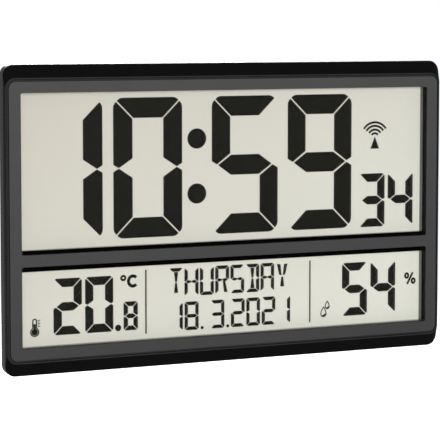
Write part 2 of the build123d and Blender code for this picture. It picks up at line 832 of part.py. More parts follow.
# Parts on the back of the main board
with BuildPart() as controller_blob:
    with BuildSketch(in_front(board_rear)):
        with Locations((blob_x, main_board_z)):
            Circle(blob_radius)
    extrude(amount=-blob_height)
    fillet(controller_blob.faces().sort_by(Axis.Y)[-1].edges(), blob_fillet)
save(controller_blob, "controller_blob")

with BuildPart() as quartz_crystal:
    with BuildSketch(Plane.YZ.offset(crystal_x)):
        with Locations((-board_rear + crystal_radius, main_board_z)):
            Circle(crystal_radius)
    extrude(amount=crystal_length)
save(quartz_crystal, "quartz_crystal")

with BuildPart() as board_capacitors:
    with BuildSketch(in_front(board_rear)):
        with Locations(*[(x, main_board_z) for x in capacitor_x]):
            Circle(capacitor_radius)
    extrude(amount=-capacitor_height)
save(board_capacitors, "board_capacitors")

# Chips on the front of the receiver board and on the back of the sensor board, behind the vents
with BuildPart() as receiver_chip:
    with BuildSketch(in_front(small_board_front)):
        with Locations((radio_board_x, aerial_z)):
            Rectangle(chip_size, chip_size)
    extrude(amount=chip_height)
save(receiver_chip, "receiver_chip")

with BuildPart() as climate_sensor:
    with BuildSketch(in_front(small_board_rear)):
        with Locations((sensor_board_x, sensor_board_z)):
            Rectangle(chip_size, chip_size)
    extrude(amount=-chip_height)
save(climate_sensor, "climate_sensor")

# Aerial: ferrite rod in its saddles, with the coil round its middle
with BuildPart() as ferrite_rod:
    with BuildSketch(Plane.YZ.offset(ferrite_x - ferrite_length / 2)):
        with Locations((-aerial_height, aerial_z)):
            Circle(ferrite_radius)
    extrude(amount=ferrite_length)
save(ferrite_rod, "ferrite_rod")

with BuildPart() as antenna_coil:
    with BuildSketch(Plane.YZ.offset(ferrite_x - coil_length / 2)):
        with Locations((-aerial_height, aerial_z)):
            Circle(ferrite_radius + aerial_clearance + coil_thickness)
            Circle(ferrite_radius + aerial_clearance, mode=Mode.SUBTRACT)
    extrude(amount=coil_length)
save(antenna_coil, "antenna_coil")

# Flat leads from the front of each small board to the back of the main board
board_bottom = main_board_z - main_board_height / 2
button_board_bottom = button_row_z - button_board_height / 2
radio_board_bottom = aerial_z - radio_board_height / 2
sensor_board_top = sensor_board_z + sensor_board_height / 2
ribbons = {
    "button_ribbon": (button_board_x, button_board_front, button_board_bottom, board_top),
    "radio_ribbon": (radio_board_x, small_board_front, radio_board_bottom, board_top),
    "sensor_ribbon": (sensor_board_x, small_board_front, sensor_board_top, board_bottom),
}
for name, (x, low, from_z, to_z) in ribbons.items():
    way = 1 if to_z > from_z else -1
    front_side = [
        (low + ribbon_thickness, from_z - way * ribbon_foot),
        (low + ribbon_thickness, from_z),
        (board_rear, to_z),
        (board_rear, to_z + way * ribbon_foot),
    ]
    rear_side = [(height - ribbon_thickness, z) for height, z in reversed(front_side)]
    with BuildPart() as ribbon:
        with BuildSketch(Plane.YZ.offset(x - ribbon_width / 2)):
            Polygon(*[(-height, z) for height, z in front_side + rear_side], align=None)
        extrude(amount=ribbon_width)
    save(ribbon, name)
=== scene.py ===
"""Looks of a radio-controlled wall clock: finishes, display artwork, key marks, stage, light and camera.

The frame's origin is the middle of the rear face, +X is to the right seen from the front, +Z is up and
+Y goes into the wall. Sizes of artwork and patterns are millimetres, and meshes and the stage are metres.
"""
import logging
import math
from abc import ABC, abstractmethod
from collections.abc import Sequence
from dataclasses import dataclass, field
from enum import Enum

import bpy
import numpy as np
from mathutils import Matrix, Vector


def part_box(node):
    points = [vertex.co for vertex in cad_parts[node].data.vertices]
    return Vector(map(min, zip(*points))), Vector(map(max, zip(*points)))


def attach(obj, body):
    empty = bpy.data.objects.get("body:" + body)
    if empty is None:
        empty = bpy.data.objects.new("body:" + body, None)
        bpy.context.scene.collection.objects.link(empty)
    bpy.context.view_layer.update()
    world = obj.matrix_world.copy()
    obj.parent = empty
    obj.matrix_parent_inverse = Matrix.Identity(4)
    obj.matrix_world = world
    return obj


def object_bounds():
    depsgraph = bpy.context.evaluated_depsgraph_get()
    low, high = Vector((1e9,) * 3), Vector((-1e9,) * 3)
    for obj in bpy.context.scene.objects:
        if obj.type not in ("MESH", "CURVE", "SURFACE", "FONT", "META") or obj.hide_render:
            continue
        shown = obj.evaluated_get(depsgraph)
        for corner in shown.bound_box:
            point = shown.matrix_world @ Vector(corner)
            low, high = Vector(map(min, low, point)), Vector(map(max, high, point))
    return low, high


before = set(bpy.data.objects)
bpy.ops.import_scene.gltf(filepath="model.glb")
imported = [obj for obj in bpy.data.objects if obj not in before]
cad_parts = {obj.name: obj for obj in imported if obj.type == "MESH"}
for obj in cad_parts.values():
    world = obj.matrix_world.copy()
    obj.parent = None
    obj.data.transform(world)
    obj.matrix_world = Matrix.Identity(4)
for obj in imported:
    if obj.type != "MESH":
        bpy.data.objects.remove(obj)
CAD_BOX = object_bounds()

LOG = logging.getLogger("wall_clock")
MM = 0.001
CLOCK_BODY = "clock"
WHITE = (1.0, 1.0, 1.0, 1.0)
NOISE_RANGE = (0.3, 0.7)
Point = tuple[float, float]
Span = tuple[float, float]
Triple = tuple[float, float, float]
Socket = bpy.types.NodeSocket


class Facing(Enum):
    """Side that a print is read from: its sign turns x as the reader sees it into the frame's X."""

    FRONT = 1
    REAR = -1


# Outlines and meshes


def grid_faces(rows: int, columns: int, wrap_rows: bool, wrap_columns: bool) -> np.ndarray:
    """Quads of a grid of points numbered row by row, each joined to its next row and column.

    Args:
        rows: Number of rows of points.
        columns: Number of points in a row.
        wrap_rows: True where the last row joins the first.
        wrap_columns: True where the last column joins the first.

    Returns:
        An array of four point numbers a quad.
    """
    row = np.arange(rows if wrap_rows else rows - 1)[:, None]
    column = np.arange(columns if wrap_columns else columns - 1)[None, :]
    next_row = (row + 1) % rows
    next_column = (column + 1) % columns
    corners = (row * columns + column, row * columns + next_column,
               next_row * columns + next_column, next_row * columns + column)
    return np.stack(np.broadcast_arrays(*corners), axis=-1).reshape(-1, 4)


def unit(vectors: np.ndarray) -> np.ndarray:
    """Each vector divided by its length."""
    return vectors / np.linalg.norm(vectors, axis=1, keepdims=True)


def left_of(along: np.ndarray) -> np.ndarray:
    """Each vector turned a quarter anticlockwise: (x, z) becomes (-z, x)."""
    return np.stack((-along[:, 1], along[:, 0]), axis=1)


def is_clockwise(outline: np.ndarray) -> bool:
    """True where the outline's area, the sum of its corners' cross products, is negative."""
    ahead = np.roll(outline, -1, axis=0)
    return bool(np.sum(outline[:, 0] * ahead[:, 1] - ahead[:, 0] * outline[:, 1]) < 0)


def inset(outline: np.ndarray, amount: float) -> np.ndarray:
    """Convex outline drawn in by an amount: each corner moves along the sum of its two inward normals.

    Args:
        outline: Corner points, anticlockwise.
        amount: Distance that every side moves inwards.

    Returns:
        The new corner points.
    """
    inward = left_of(unit(np.roll(outline, -1, axis=0) - outline))
    before = np.roll(inward, 1, axis=0)
    spread = 1 + np.sum(inward * before, axis=1, keepdims=True)
    return outline + amount * (inward + before) / spread


def rounded(outline: np.ndarray, radii: np.ndarray, steps: int = 6) -> np.ndarray:
    """Outline whose corners are arcs: a turn about the corner's arc centre from one side to the other.

    Args:
        outline: Corner points.
        radii: Arc radius of each corner.
        steps: Points in each arc.

    Returns:
        The points of all the arcs, corner after corner.
    """
    back = unit(np.roll(outline, 1, axis=0) - outline)
    ahead = unit(np.roll(outline, -1, axis=0) - outline)
    half = np.arccos(np.clip(np.sum(back * ahead, axis=1), -1, 1)) / 2
    centre = outline + unit(back + ahead) * (radii / np.sin(half))[:, None]
    tangent = (radii / np.tan(half))[:, None]
    start = (outline + back * tangent - centre)[:, None]
    end = (outline + ahead * tangent - centre)[:, None]
    turn = (np.pi - 2 * half)[:, None, None]
    share = np.linspace(0, 1, steps)[None, :, None]
    mixed = (np.sin((1 - share) * turn) * start + np.sin(share * turn) * end) / np.sin(turn)
    return (centre[:, None] + mixed).reshape(-1, 2)


def arc(centre: Point, radius: float, start: float, end: float, steps: int) -> np.ndarray:
    """Points on a circle between two angles.

    Args:
        centre: Middle of the circle.
        radius: Its radius.
        start: First angle in degrees, anticlockwise from +x.
        end: Last angle in degrees.
        steps: Number of points.

    Returns:
        The points in order.
    """
    angle = np.radians(np.linspace(start, end, steps))
    return np.stack((centre[0] + radius * np.cos(angle), centre[1] + radius * np.sin(angle)), axis=1)


def circle(centre: Point, radius: float, steps: int) -> np.ndarray:
    """Points of a whole circle, without a repeat of the first one."""
    return arc(centre, radius, 0, 360 * (1 - 1 / steps), steps)


def rectangle(low: Point, high: Point) -> np.ndarray:
    """Corners of an upright rectangle, anticlockwise from its lower left."""
    return np.array([low, (high[0], low[1]), high, (low[0], high[1])])


@dataclass
class PrintLayer:
    """Thin raised artwork on a flat face of the clock, gathered into one mesh.

    The layer's points are (x, z) in millimetres as its reader sees them. Each shape is an outline, or a
    line's rectangular section, carried from the face outwards by the layer's thickness.
    """

    name: str
    face_y: float
    thickness: float
    facing: Facing = Facing.FRONT
    gap: float = 0.005
    points: list[np.ndarray] = field(default_factory=list)
    faces: list[list[int]] = field(default_factory=list)
    count: int = 0

    def _keep(self, points: np.ndarray, quads: np.ndarray, caps: Sequence[np.ndarray]) -> None:
        """Adds the points of one shape, and its quads and end caps numbered from its first point.

        Args:
            points: Points in the frame, in metres.
            quads: Four point numbers a quad.
            caps: Point numbers round each end cap.
        """
        self.points.append(points)
        self.faces += (quads + self.count).tolist()
        self.faces += [(cap + self.count).tolist() for cap in caps]
        self.count += len(points)

    def _stand(self, flat: np.ndarray, lift: np.ndarray) -> np.ndarray:
        """Frame points in metres of layer points at given lifts off the face."""
        side = self.facing.value
        return np.stack((side * flat[:, 0] * MM, self.face_y - side * lift * MM, flat[:, 1] * MM), axis=1)

    def fill(self, outline: np.ndarray) -> None:
        """Adds a filled shape: its outline carried straight off the face, closed by a flat cap at each end.

        Args:
            outline: Points of the closed outline, in either direction.
        """
        if is_clockwise(outline):
            outline = outline[::-1]
        n = len(outline)
        lift = np.repeat((self.gap + self.thickness, self.gap), n)
        points = self._stand(np.tile(outline, (2, 1)), lift)
        sides = grid_faces(2, n, False, True)[:, ::-1]
        self._keep(points, sides, (np.arange(n), np.arange(2 * n - 1, n - 1, -1)))

    def line(self, path: np.ndarray | Sequence[Point], width: float, closed: bool = False) -> None:
        """Adds a drawn line: a rectangle as wide as the line, carried along a path on the face.

        Args:
            path: Points along the middle of the line.
            width: Width of the line.
            closed: True where the line comes back to its start.
        """
        path = np.asarray(path, float)
        if closed:
            along = np.roll(path, -1, axis=0) - np.roll(path, 1, axis=0)
        else:
            along = np.gradient(path, axis=0)
        across = left_of(unit(along)) * width / 2
        left, right = path + across, path - across
        flat = np.stack((left, right, right, left), axis=1).reshape(-1, 2)
        top, foot = self.gap + self.thickness, self.gap
        points = self._stand(flat, np.tile((top, top, foot, foot), len(path)))
        last = 4 * (len(path) - 1)
        ends = () if closed else (np.arange(3, -1, -1), np.arange(last, last + 4))
        self._keep(points, grid_faces(len(path), 4, closed, True), ends)

    def piece(self, material: bpy.types.Material) -> None:
        """Makes the layer's one mesh object, dresses it and lets it ride on the clock's main body.

        Args:
            material: Its finish.
        """
        mesh = bpy.data.meshes.new(self.name)
        mesh.from_pydata(np.concatenate(self.points).tolist(), [], self.faces)
        mesh.validate()
        mesh.update()
        mesh.materials.append(material)
        made = bpy.data.objects.new(self.name, mesh)
        bpy.context.scene.collection.objects.link(made)
        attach(made, CLOCK_BODY)
        LOG.info("%s: %d shapes, %d faces", self.name, len(self.points), len(self.faces))


class Mark(ABC):
    """Something that can be drawn on a layer."""

    @abstractmethod
    def draw(self, layer: PrintLayer) -> None:
        """Adds the mark's shapes to a layer."""


# Characters of the displays


class Bar(Enum):
    """Bars of a display character: seven round it, and the inner ones that letters use."""

    TOP = "a"
    UPPER_RIGHT = "b"
    LOWER_RIGHT = "c"
    BOTTOM = "d"
    LOWER_LEFT = "e"
    UPPER_LEFT = "f"
    MIDDLE = "g"
    MIDDLE_LEFT = "p"
    MIDDLE_RIGHT = "q"
    UPPER_POST = "i"
    LOWER_POST = "l"
    FALL_LEFT = "h"
    FALL_RIGHT = "m"
    RISE_RIGHT = "j"


LIT_BARS = {
    "0": "abcdef", "1": "bc", "2": "abged", "3": "abgcd", "4": "fgbc", "5": "afgcd",
    "8": "abcdefg", "9": "abcdfg",
    "A": "abcefpq", "D": "abcdil", "H": "bcefpq", "R": "abefpqm", "S": "afpqcd", "T": "ail",
    "U": "bcdef", "Y": "hjl",
}
MIDDLE_BARS = {Bar.MIDDLE.value, Bar.MIDDLE_LEFT.value, Bar.MIDDLE_RIGHT.value}


@dataclass(frozen=True)
class CharacterStyle:
    """Sizes of one display character: bars of one stroke, mitred at the corners, pointed at the middle.

    The fields from apex on are shares of the stroke, except that ridge is a share of the shoulder. Those of
    a slant's head count from the character's upper left corner, and those of its foot from its centre.
    """

    width: float
    height: float
    stroke: float
    gap: float
    corner: float
    tip: float
    apex: float = 0.30
    shoulder: float = 0.53
    chamfer: float = 0.18
    open_shoulder: float = 0.46
    open_reach: float = 0.025
    ridge: float = 0.95
    wedge_head: float = 0.62
    wedge_foot: float = 0.30
    slant_head: tuple[Point, Point] = ((0.4, -0.4), (1.5, -0.5))
    slant_foot: tuple[Point, Point] = ((-0.9, 0.4), (-0.1, 0.2))

    def outlines(self, joined: bool) -> dict[Bar, tuple[np.ndarray, np.ndarray]]:
        """Every bar's corner points with their arc radii, about the character's lower left corner.

        The bars fill a frame that is half a gap larger all round, with no gap between them. One bar of each
        kind is written down, and the others are its mirror images. An outer corner is cut by a line at 45
        degrees that touches its arc, and the arc ends where the tip's rounding starts.

        Args:
            joined: True with a middle bar, without which the posts come closer to each other.

        Returns:
            For each bar, its corners and their radii.
        """
        half = self.gap / 2
        left, bottom = -half, -half
        right, top = self.width + half, self.height + half
        centre, middle = (left + right) / 2, (bottom + top) / 2
        stroke = self.stroke + self.gap
        mitre = (1 - math.sqrt(0.5)) * self.corner
        cut = 2 * mitre
        turn = self.corner - half - (half + self.tip) / math.tan(math.pi / 8)
        apex, chamfer = self.apex * stroke, self.chamfer * stroke
        shoulder = (self.shoulder if joined else self.open_shoulder) * stroke
        end = middle if joined else middle - self.open_reach * stroke
        ridge = self.ridge * shoulder
        wedge_head, wedge_foot = self.wedge_head * stroke, self.wedge_foot * stroke
        slant_head = np.array((left, top)) + stroke * np.array(self.slant_head)
        slant_foot = np.array((centre, middle)) + stroke * np.array(self.slant_foot)

        def flip_x(points: np.ndarray) -> np.ndarray:
            """Mirror image about the character's upright middle line."""
            return np.stack((left + right - points[:, 0], points[:, 1]), axis=1)

        def flip_z(points: np.ndarray) -> np.ndarray:
            """Mirror image about the character's level middle line."""
            return np.stack((points[:, 0], bottom + top - points[:, 1]), axis=1)

        bar = np.array([
            (left + cut, top), (left + mitre, top - mitre), (left + stroke, top - stroke),
            (right - stroke, top - stroke), (right - mitre, top - mitre), (right - cut, top),
        ])
        post = np.array([
            (left, top - cut), (left, end + chamfer), (left + apex, end),
            (left + stroke, end + shoulder), (left + stroke, top - stroke), (left + mitre, top - mitre),
        ])
        middle_bar = np.array([
            (left + apex, middle), (left + stroke, middle - ridge), (right - stroke, middle - ridge),
            (right - apex, middle), (right - stroke, middle + ridge), (left + stroke, middle + ridge),
        ])
        half_bar = np.array([
            (left + apex, middle), (left + stroke, middle - ridge), (centre - half, middle - ridge / 2),
            (centre, middle), (centre - half, middle + ridge / 2), (left + stroke, middle + ridge),
        ])
        wedge = np.array([
            (centre - wedge_head, top - stroke), (centre - wedge_foot, middle + half),
            (centre + wedge_foot, middle + half), (centre + wedge_head, top - stroke),
        ])
        slant = np.array([slant_head[0], slant_foot[0], slant_foot[1], slant_head[1]])
        shapes = {
            Bar.TOP: bar, Bar.BOTTOM: flip_z(bar),
            Bar.UPPER_LEFT: post, Bar.LOWER_LEFT: flip_z(post),
            Bar.UPPER_RIGHT: flip_x(post), Bar.LOWER_RIGHT: flip_x(flip_z(post)),
            Bar.MIDDLE: middle_bar, Bar.MIDDLE_LEFT: half_bar, Bar.MIDDLE_RIGHT: flip_x(half_bar),
            Bar.UPPER_POST: wedge, Bar.LOWER_POST: flip_z(wedge),
            Bar.FALL_LEFT: slant, Bar.RISE_RIGHT: flip_x(slant), Bar.FALL_RIGHT: flip_x(flip_z(slant)),
        }
        radii = {kind: np.full(len(shape), self.tip) for kind, shape in shapes.items()}
        for kind in (Bar.TOP, Bar.BOTTOM):
            radii[kind][[0, -1]] = turn
        for kind in (Bar.UPPER_LEFT, Bar.LOWER_LEFT, Bar.UPPER_RIGHT, Bar.LOWER_RIGHT):
            radii[kind][0] = turn
        return {kind: (shapes[kind], radii[kind]) for kind in shapes}


class Styles(Enum):
    """Characters of the displays."""

    TIME = CharacterStyle(width=55.5, height=106.3, stroke=15.4, gap=0.95, corner=9.4, tip=0.5)
    SECONDS = CharacterStyle(width=22.6, height=42.7, stroke=6.7, gap=0.6, corner=3.6, tip=0.5)
    CLIMATE = CharacterStyle(width=22.3, height=42.5, stroke=6.55, gap=0.6, corner=3.6, tip=0.5)
    TENTH = CharacterStyle(width=11.5, height=22.05, stroke=3.6, gap=0.45, corner=2.4, tip=0.3)
    WEEKDAY = CharacterStyle(width=11.6, height=22.2, stroke=2.75, gap=0.3, corner=2.4, tip=0.25)
    DATE = CharacterStyle(width=11.6, height=22.1, stroke=2.75, gap=0.3, corner=2.4, tip=0.25)


def even(first: float, pitch: float, count: int) -> tuple[float, ...]:
    """Places in a row at an even pitch."""
    return tuple(first + pitch * np.arange(count))


@dataclass(frozen=True)
class Row(Mark):
    """A row of characters of one style, with the left edge of each one and the lower edge of all."""

    style: Styles
    text: str
    lefts: tuple[float, ...]
    bottom: float

    def draw(self, layer: PrintLayer) -> None:
        """Fills the lit bars, each drawn in by half a gap and softened at its corners.

        Args:
            layer: Layer that takes them.
        """
        style = self.style.value
        shapes = {joined: style.outlines(joined) for joined in (True, False)}
        for sign, left in zip(self.text, self.lefts):
            lit = LIT_BARS[sign]
            bars = shapes[not MIDDLE_BARS.isdisjoint(lit)]
            for letter in lit:
                corners, radii = bars[Bar(letter)]
                if is_clockwise(corners):
                    corners, radii = corners[::-1], radii[::-1]
                layer.fill(rounded(inset(corners, style.gap / 2), radii) + (left, self.bottom))


# Signs of the displays


@dataclass(frozen=True)
class Dots(Mark):
    """Full round dots of one radius."""

    places: tuple[Point, ...]
    radius: float
    steps: int

    def draw(self, layer: PrintLayer) -> None:
        """Fills a circle at each place."""
        for place in self.places:
            layer.fill(circle(place, self.radius, self.steps))


@dataclass(frozen=True)
class Dividers(Mark):
    """Upright lines of one height, each at its own x."""

    places: tuple[float, ...]
    ends: Span
    width: float

    def draw(self, layer: PrintLayer) -> None:
        """Draws a line at each place."""
        for x in self.places:
            layer.line([(x, z) for z in self.ends], self.width)


@dataclass(frozen=True)
class SignalMark(Mark):
    """Time-signal mark: waves, which are arcs about one point, over a pointed mast."""

    centre: Point
    radii: tuple[float, ...]
    width: float
    half_angle: float
    mast_top: float
    mast_foot: float
    mast_half: float

    def draw(self, layer: PrintLayer) -> None:
        """Adds the waves and the mast.

        Args:
            layer: Layer that takes them.
        """
        for radius in self.radii:
            wave = arc(self.centre, radius, 90 - self.half_angle, 90 + self.half_angle, steps=24)
            layer.line(wave, self.width)
        x = self.centre[0]
        layer.fill(np.array([(x - self.mast_half, self.mast_foot), (x + self.mast_half, self.mast_foot),
                             (x, self.mast_top)]))


@dataclass(frozen=True)
class DegreeSign(Mark):
    """Degree ring and the letter C: lines carried round a circle and round most of a tall ellipse."""

    ring: Point
    ring_radius: float
    ring_width: float
    letter: Point
    letter_radius: float
    letter_width: float
    tallness: float = 1.08
    opening: float = 42.0

    def draw(self, layer: PrintLayer) -> None:
        """Adds the ring and the letter.

        Args:
            layer: Layer that takes them.
        """
        layer.line(circle(self.ring, self.ring_radius, steps=28), self.ring_width, True)
        bow = arc((0.0, 0.0), self.letter_radius, self.opening, 360 - self.opening, steps=30)
        layer.line(bow * (1.0, self.tallness) + self.letter, self.letter_width)


@dataclass(frozen=True)
class PercentSign(Mark):
    """Two upright oval rings and a slanted line. All but the line's width are shares of the height."""

    centre: Point
    height: float
    width: float
    oval: Point = (0.15, 0.19)
    ring_place: Point = (0.32, -0.24)
    slant: Point = (0.27, 0.50)

    def draw(self, layer: PrintLayer) -> None:
        """Adds the rings and the line.

        Args:
            layer: Layer that takes them.
        """
        centre = np.array(self.centre)
        ring = circle((0.0, 0.0), self.height, steps=24) * self.oval
        aside, end = self.height * np.array((self.ring_place, self.slant))
        for side in (-1, 1):
            layer.line(ring + centre + side * aside, self.width, True)
        layer.line((centre - end, centre + end), self.width)


@dataclass(frozen=True)
class Drop(Mark):
    """Water drop, full at its lower right: a tall ellipse whose width tapers to a point at its top.

    A share of 0 to 1 goes once round the outline from the top. The width is the sine of the turn times the
    sine of half the turn to a power.
    """

    apex: Point
    height: float
    half_width: float
    width: float = 0.8
    power: float = 1.3
    bulge: float = 1.25
    shares: Span = (0.02, 0.98)
    full: Span = (0.28, 0.60)

    def draw(self, layer: PrintLayer) -> None:
        """Adds the outline and its full part.

        Args:
            layer: Layer that takes them.
        """
        share = np.linspace(*self.shares, num=36)
        angle = 2 * np.pi * share
        x = self.apex[0] + self.half_width * np.sin(angle) * np.sin(angle / 2) ** self.power * self.bulge
        z = self.apex[1] - self.height * (1 - np.cos(angle)) / 2
        outline = np.stack((x, z), axis=1)
        layer.line(outline, self.width, True)
        layer.fill(outline[(share > self.full[0]) & (share < self.full[1])])


@dataclass(frozen=True)
class Thermometer(Mark):
    """Thermometer: a full bulb and column inside one outline, and a scale of ticks beside the tube.

    The outline is an arc round the bulb and a half circle at the top of the tube.
    """

    bulb: Point
    radius: float
    tube: float
    top: float
    width: float
    full_share: float = 0.78
    column_share: float = 0.6
    column_drop: float = 3.6
    ticks: int = 5
    tick_drop: float = 1.0
    tick_pitch: float = 1.15
    tick_start: float = 2.4
    tick_ends: Span = (4.3, 3.6)
    tick_width: float = 0.6

    def draw(self, layer: PrintLayer) -> None:
        """Adds the outline, the filling and the scale.

        Args:
            layer: Layer that takes them.
        """
        x, z = self.bulb
        lean = math.degrees(math.asin(self.tube / self.radius))
        around = arc(self.bulb, self.radius, 90 + lean, 450 - lean, steps=36)
        cap = arc((x, self.top - self.tube), self.tube, 0, 180, steps=14)
        layer.line(np.concatenate((around, cap)), self.width, True)
        layer.fill(circle(self.bulb, self.full_share * self.radius, steps=28))
        column = self.column_share * self.tube
        layer.fill(rectangle((x - column, z), (x + column, self.top - self.column_drop)))
        for tick in range(self.ticks):
            level = self.top - self.tick_drop - self.tick_pitch * tick
            end = self.tick_ends[tick % 2]
            layer.line([(x + self.tick_start, level), (x + end, level)], self.tick_width)


# Finishes


def tinted(colour: Triple, factor: float) -> Triple:
    """A colour made lighter or darker by a factor."""
    return tuple(min(1.0, part * factor) for part in colour)


class Nodes:
    """Short calls that add nodes to one node tree."""

    def __init__(self, tree: bpy.types.NodeTree) -> None:
        """Takes the tree."""
        self.tree = tree

    def add(self, kind: str, **settings: object) -> bpy.types.Node:
        """Adds a node and sets its properties.

        Args:
            kind: Type of node.
            settings: Its properties by name.

        Returns:
            The node.
        """
        node = self.tree.nodes.new(kind)
        for key, value in settings.items():
            setattr(node, key, value)
        return node

    def join(self, output: Socket, socket: Socket) -> None:
        """Links an output to an input."""
        self.tree.links.new(output, socket)

    def maths(self, operation: str, first: Socket, second: Socket | float = 0.0) -> Socket:
        """Result of one sum on two values.

        Args:
            operation: Name of the sum.
            first: First value.
            second: Second value, where the sum has one.

        Returns:
            The result.
        """
        node = self.add("ShaderNodeMath", operation=operation)
        self.join(first, node.inputs[0])
        if isinstance(second, float):
            node.inputs[1].default_value = second
        else:
            self.join(second, node.inputs[1])
        return node.outputs["Value"]

    def spread(self, value: Socket, low: Point, high: Point) -> Socket:
        """A value carried in a straight line from one range to another, and held at its ends.

        Args:
            value: Input.
            low: Input and output where the range starts.
            high: Input and output where it ends.

        Returns:
            The new value.
        """
        node = self.add("ShaderNodeMapRange")
        numbers = {"From Min": low[0], "From Max": high[0], "To Min": low[1], "To Max": high[1]}
        for socket, number in numbers.items():
            node.inputs[socket].default_value = number
        self.join(value, node.inputs["Value"])
        return node.outputs["Result"]

    def seen(self) -> Socket:
        """Tells rays that look at a surface from those that light one.

        Returns:
            1 for rays from the camera, off gloss and through glass, and 0 for the others.
        """
        rays = self.add("ShaderNodeLightPath").outputs
        direct = self.maths("MAXIMUM", rays["Is Camera Ray"], rays["Is Glossy Ray"])
        return self.maths("MAXIMUM", direct, rays["Is Transmission Ray"])


class Shader(Nodes):
    """A node material with one Principled surface, and calls that add patterns to it."""

    def __init__(self, name: str, roughness: float, specular: float = 0.5, metallic: float = 0.0) -> None:
        """Starts a material.

        Args:
            name: Its name.
            roughness: Roughness all over, or the average of a pattern.
            specular: Specular level, 0.5 for common plastic.
            metallic: 1 for bare metal.
        """
        self.material = bpy.data.materials.new(name)
        self.material.use_nodes = True
        super().__init__(self.material.node_tree)
        self.tree.nodes.clear()
        self.roughness = roughness
        self.surface = self.add("ShaderNodeBsdfPrincipled")
        self.set({"Roughness": roughness, "Specular IOR Level": specular, "Metallic": metallic})
        output = self.add("ShaderNodeOutputMaterial")
        self.join(self.surface.outputs["BSDF"], output.inputs["Surface"])
        self.coordinates = self.add("ShaderNodeTexCoord")

    def set(self, numbers: dict[str, float]) -> None:
        """Sets numbers on the surface's own sockets, named as they are there."""
        for socket, number in numbers.items():
            self.surface.inputs[socket].default_value = number

    def place(self, stretch: Triple = (1.0, 1.0, 1.0)) -> Socket:
        """Object coordinates, each axis multiplied by its stretch.

        Args:
            stretch: Factor of each axis.

        Returns:
            The place in metres.
        """
        mapping = self.add("ShaderNodeMapping")
        mapping.inputs["Scale"].default_value = stretch
        self.join(self.coordinates.outputs["Object"], mapping.inputs["Vector"])
        return mapping.outputs["Vector"]

    def noise(self, size: float, detail: float = 2.0, stretch: Triple = (1.0, 1.0, 1.0)) -> Socket:
        """Soft noise whose lumps are about a size in millimetres.

        Args:
            size: Size of a lump.
            detail: Octaves of finer noise.
            stretch: Factor of each axis, under 1 for lumps drawn out along it.

        Returns:
            The noise value, about 0.5 on average.
        """
        node = self.add("ShaderNodeTexNoise")
        node.inputs["Scale"].default_value = 1 / (size * MM)
        node.inputs["Detail"].default_value = detail
        self.join(self.place(stretch), node.inputs["Vector"])
        return node.outputs["Fac"]

    def cells(self, size: float) -> Socket:
        """Cells round scattered points.

        Args:
            size: Distance between the points, about, in millimetres.

        Returns:
            The distance from the nearest point, 0 to about 1.
        """
        node = self.add("ShaderNodeTexVoronoi")
        node.inputs["Scale"].default_value = 1 / (size * MM)
        self.join(self.place(), node.inputs["Vector"])
        return node.outputs["Distance"]

    def bands(self, pitch: float, axis: str) -> Socket:
        """Even stripes along one axis. The wave node's own pitch is pi / 10.

        Args:
            pitch: Pitch in millimetres.
            axis: X, Y or Z.

        Returns:
            The stripe's value, from 0 to 1.
        """
        node = self.add("ShaderNodeTexWave", wave_type="BANDS", bands_direction=axis)
        node.inputs["Scale"].default_value = math.pi / 10 / (pitch * MM)
        self.join(self.place(), node.inputs["Vector"])
        return node.outputs["Fac"]

    def axis(self, name: str, source: str = "Object") -> Socket:
        """One part of the object coordinates or of the surface normal.

        Args:
            name: X, Y or Z.
            source: Object or Normal.

        Returns:
            The part's value.
        """
        split = self.add("ShaderNodeSeparateXYZ")
        self.join(self.coordinates.outputs[source], split.inputs["Vector"])
        return split.outputs[name]

    def blend(self, share: Socket, first: Triple | Socket, second: Triple | Socket) -> Socket:
        """A colour between two, by a share from 0 to 1.

        Args:
            share: Share of the second colour.
            first: Colour at 0.
            second: Colour at 1.

        Returns:
            The colour.
        """
        node = self.add("ShaderNodeMix", data_type="RGBA")
        sockets = [s for s in node.inputs if s.type == "RGBA"]
        self.join(share, node.inputs["Factor"])
        for socket, colour in zip(sockets, (first, second)):
            if isinstance(colour, tuple):
                socket.default_value = (*colour, 1.0)
            else:
                self.join(colour, socket)
        return next(s for s in node.outputs if s.type == "RGBA")

    def mottle(self, noise: Socket, colour: Triple, low: float, high: float) -> Socket:
        """A colour that goes with noise from one factor of its brightness to another."""
        return self.blend(noise, tinted(colour, low), tinted(colour, high))

    def colour(self, source: Socket) -> None:
        """Gives the surface its base colour."""
        self.join(source, self.surface.inputs["Base Color"])

    def gloss(self, noise: Socket, below: float, above: float, within: Span = NOISE_RANGE) -> None:
        """Lets the roughness go with noise, from below its average to above it.

        Args:
            noise: The noise value.
            below: How far the roughness goes below its average.
            above: How far it goes above.
            within: Noise values where it gets there.
        """
        low, high = within
        pattern = self.spread(noise, (low, self.roughness - below), (high, self.roughness + above))
        self.join(pattern, self.surface.inputs["Roughness"])

    def relief(self, height: Socket, depth: float, strength: float) -> None:
        """Gives the surface a bump.

        Args:
            height: Height pattern, from 0 to 1.
            depth: Depth in millimetres.
            strength: Share of the bump that shows.
        """
        node = self.add("ShaderNodeBump")
        node.inputs["Distance"].default_value = depth * MM
        node.inputs["Strength"].default_value = strength
        self.join(height, node.inputs["Height"])
        self.join(node.outputs["Normal"], self.surface.inputs["Normal"])


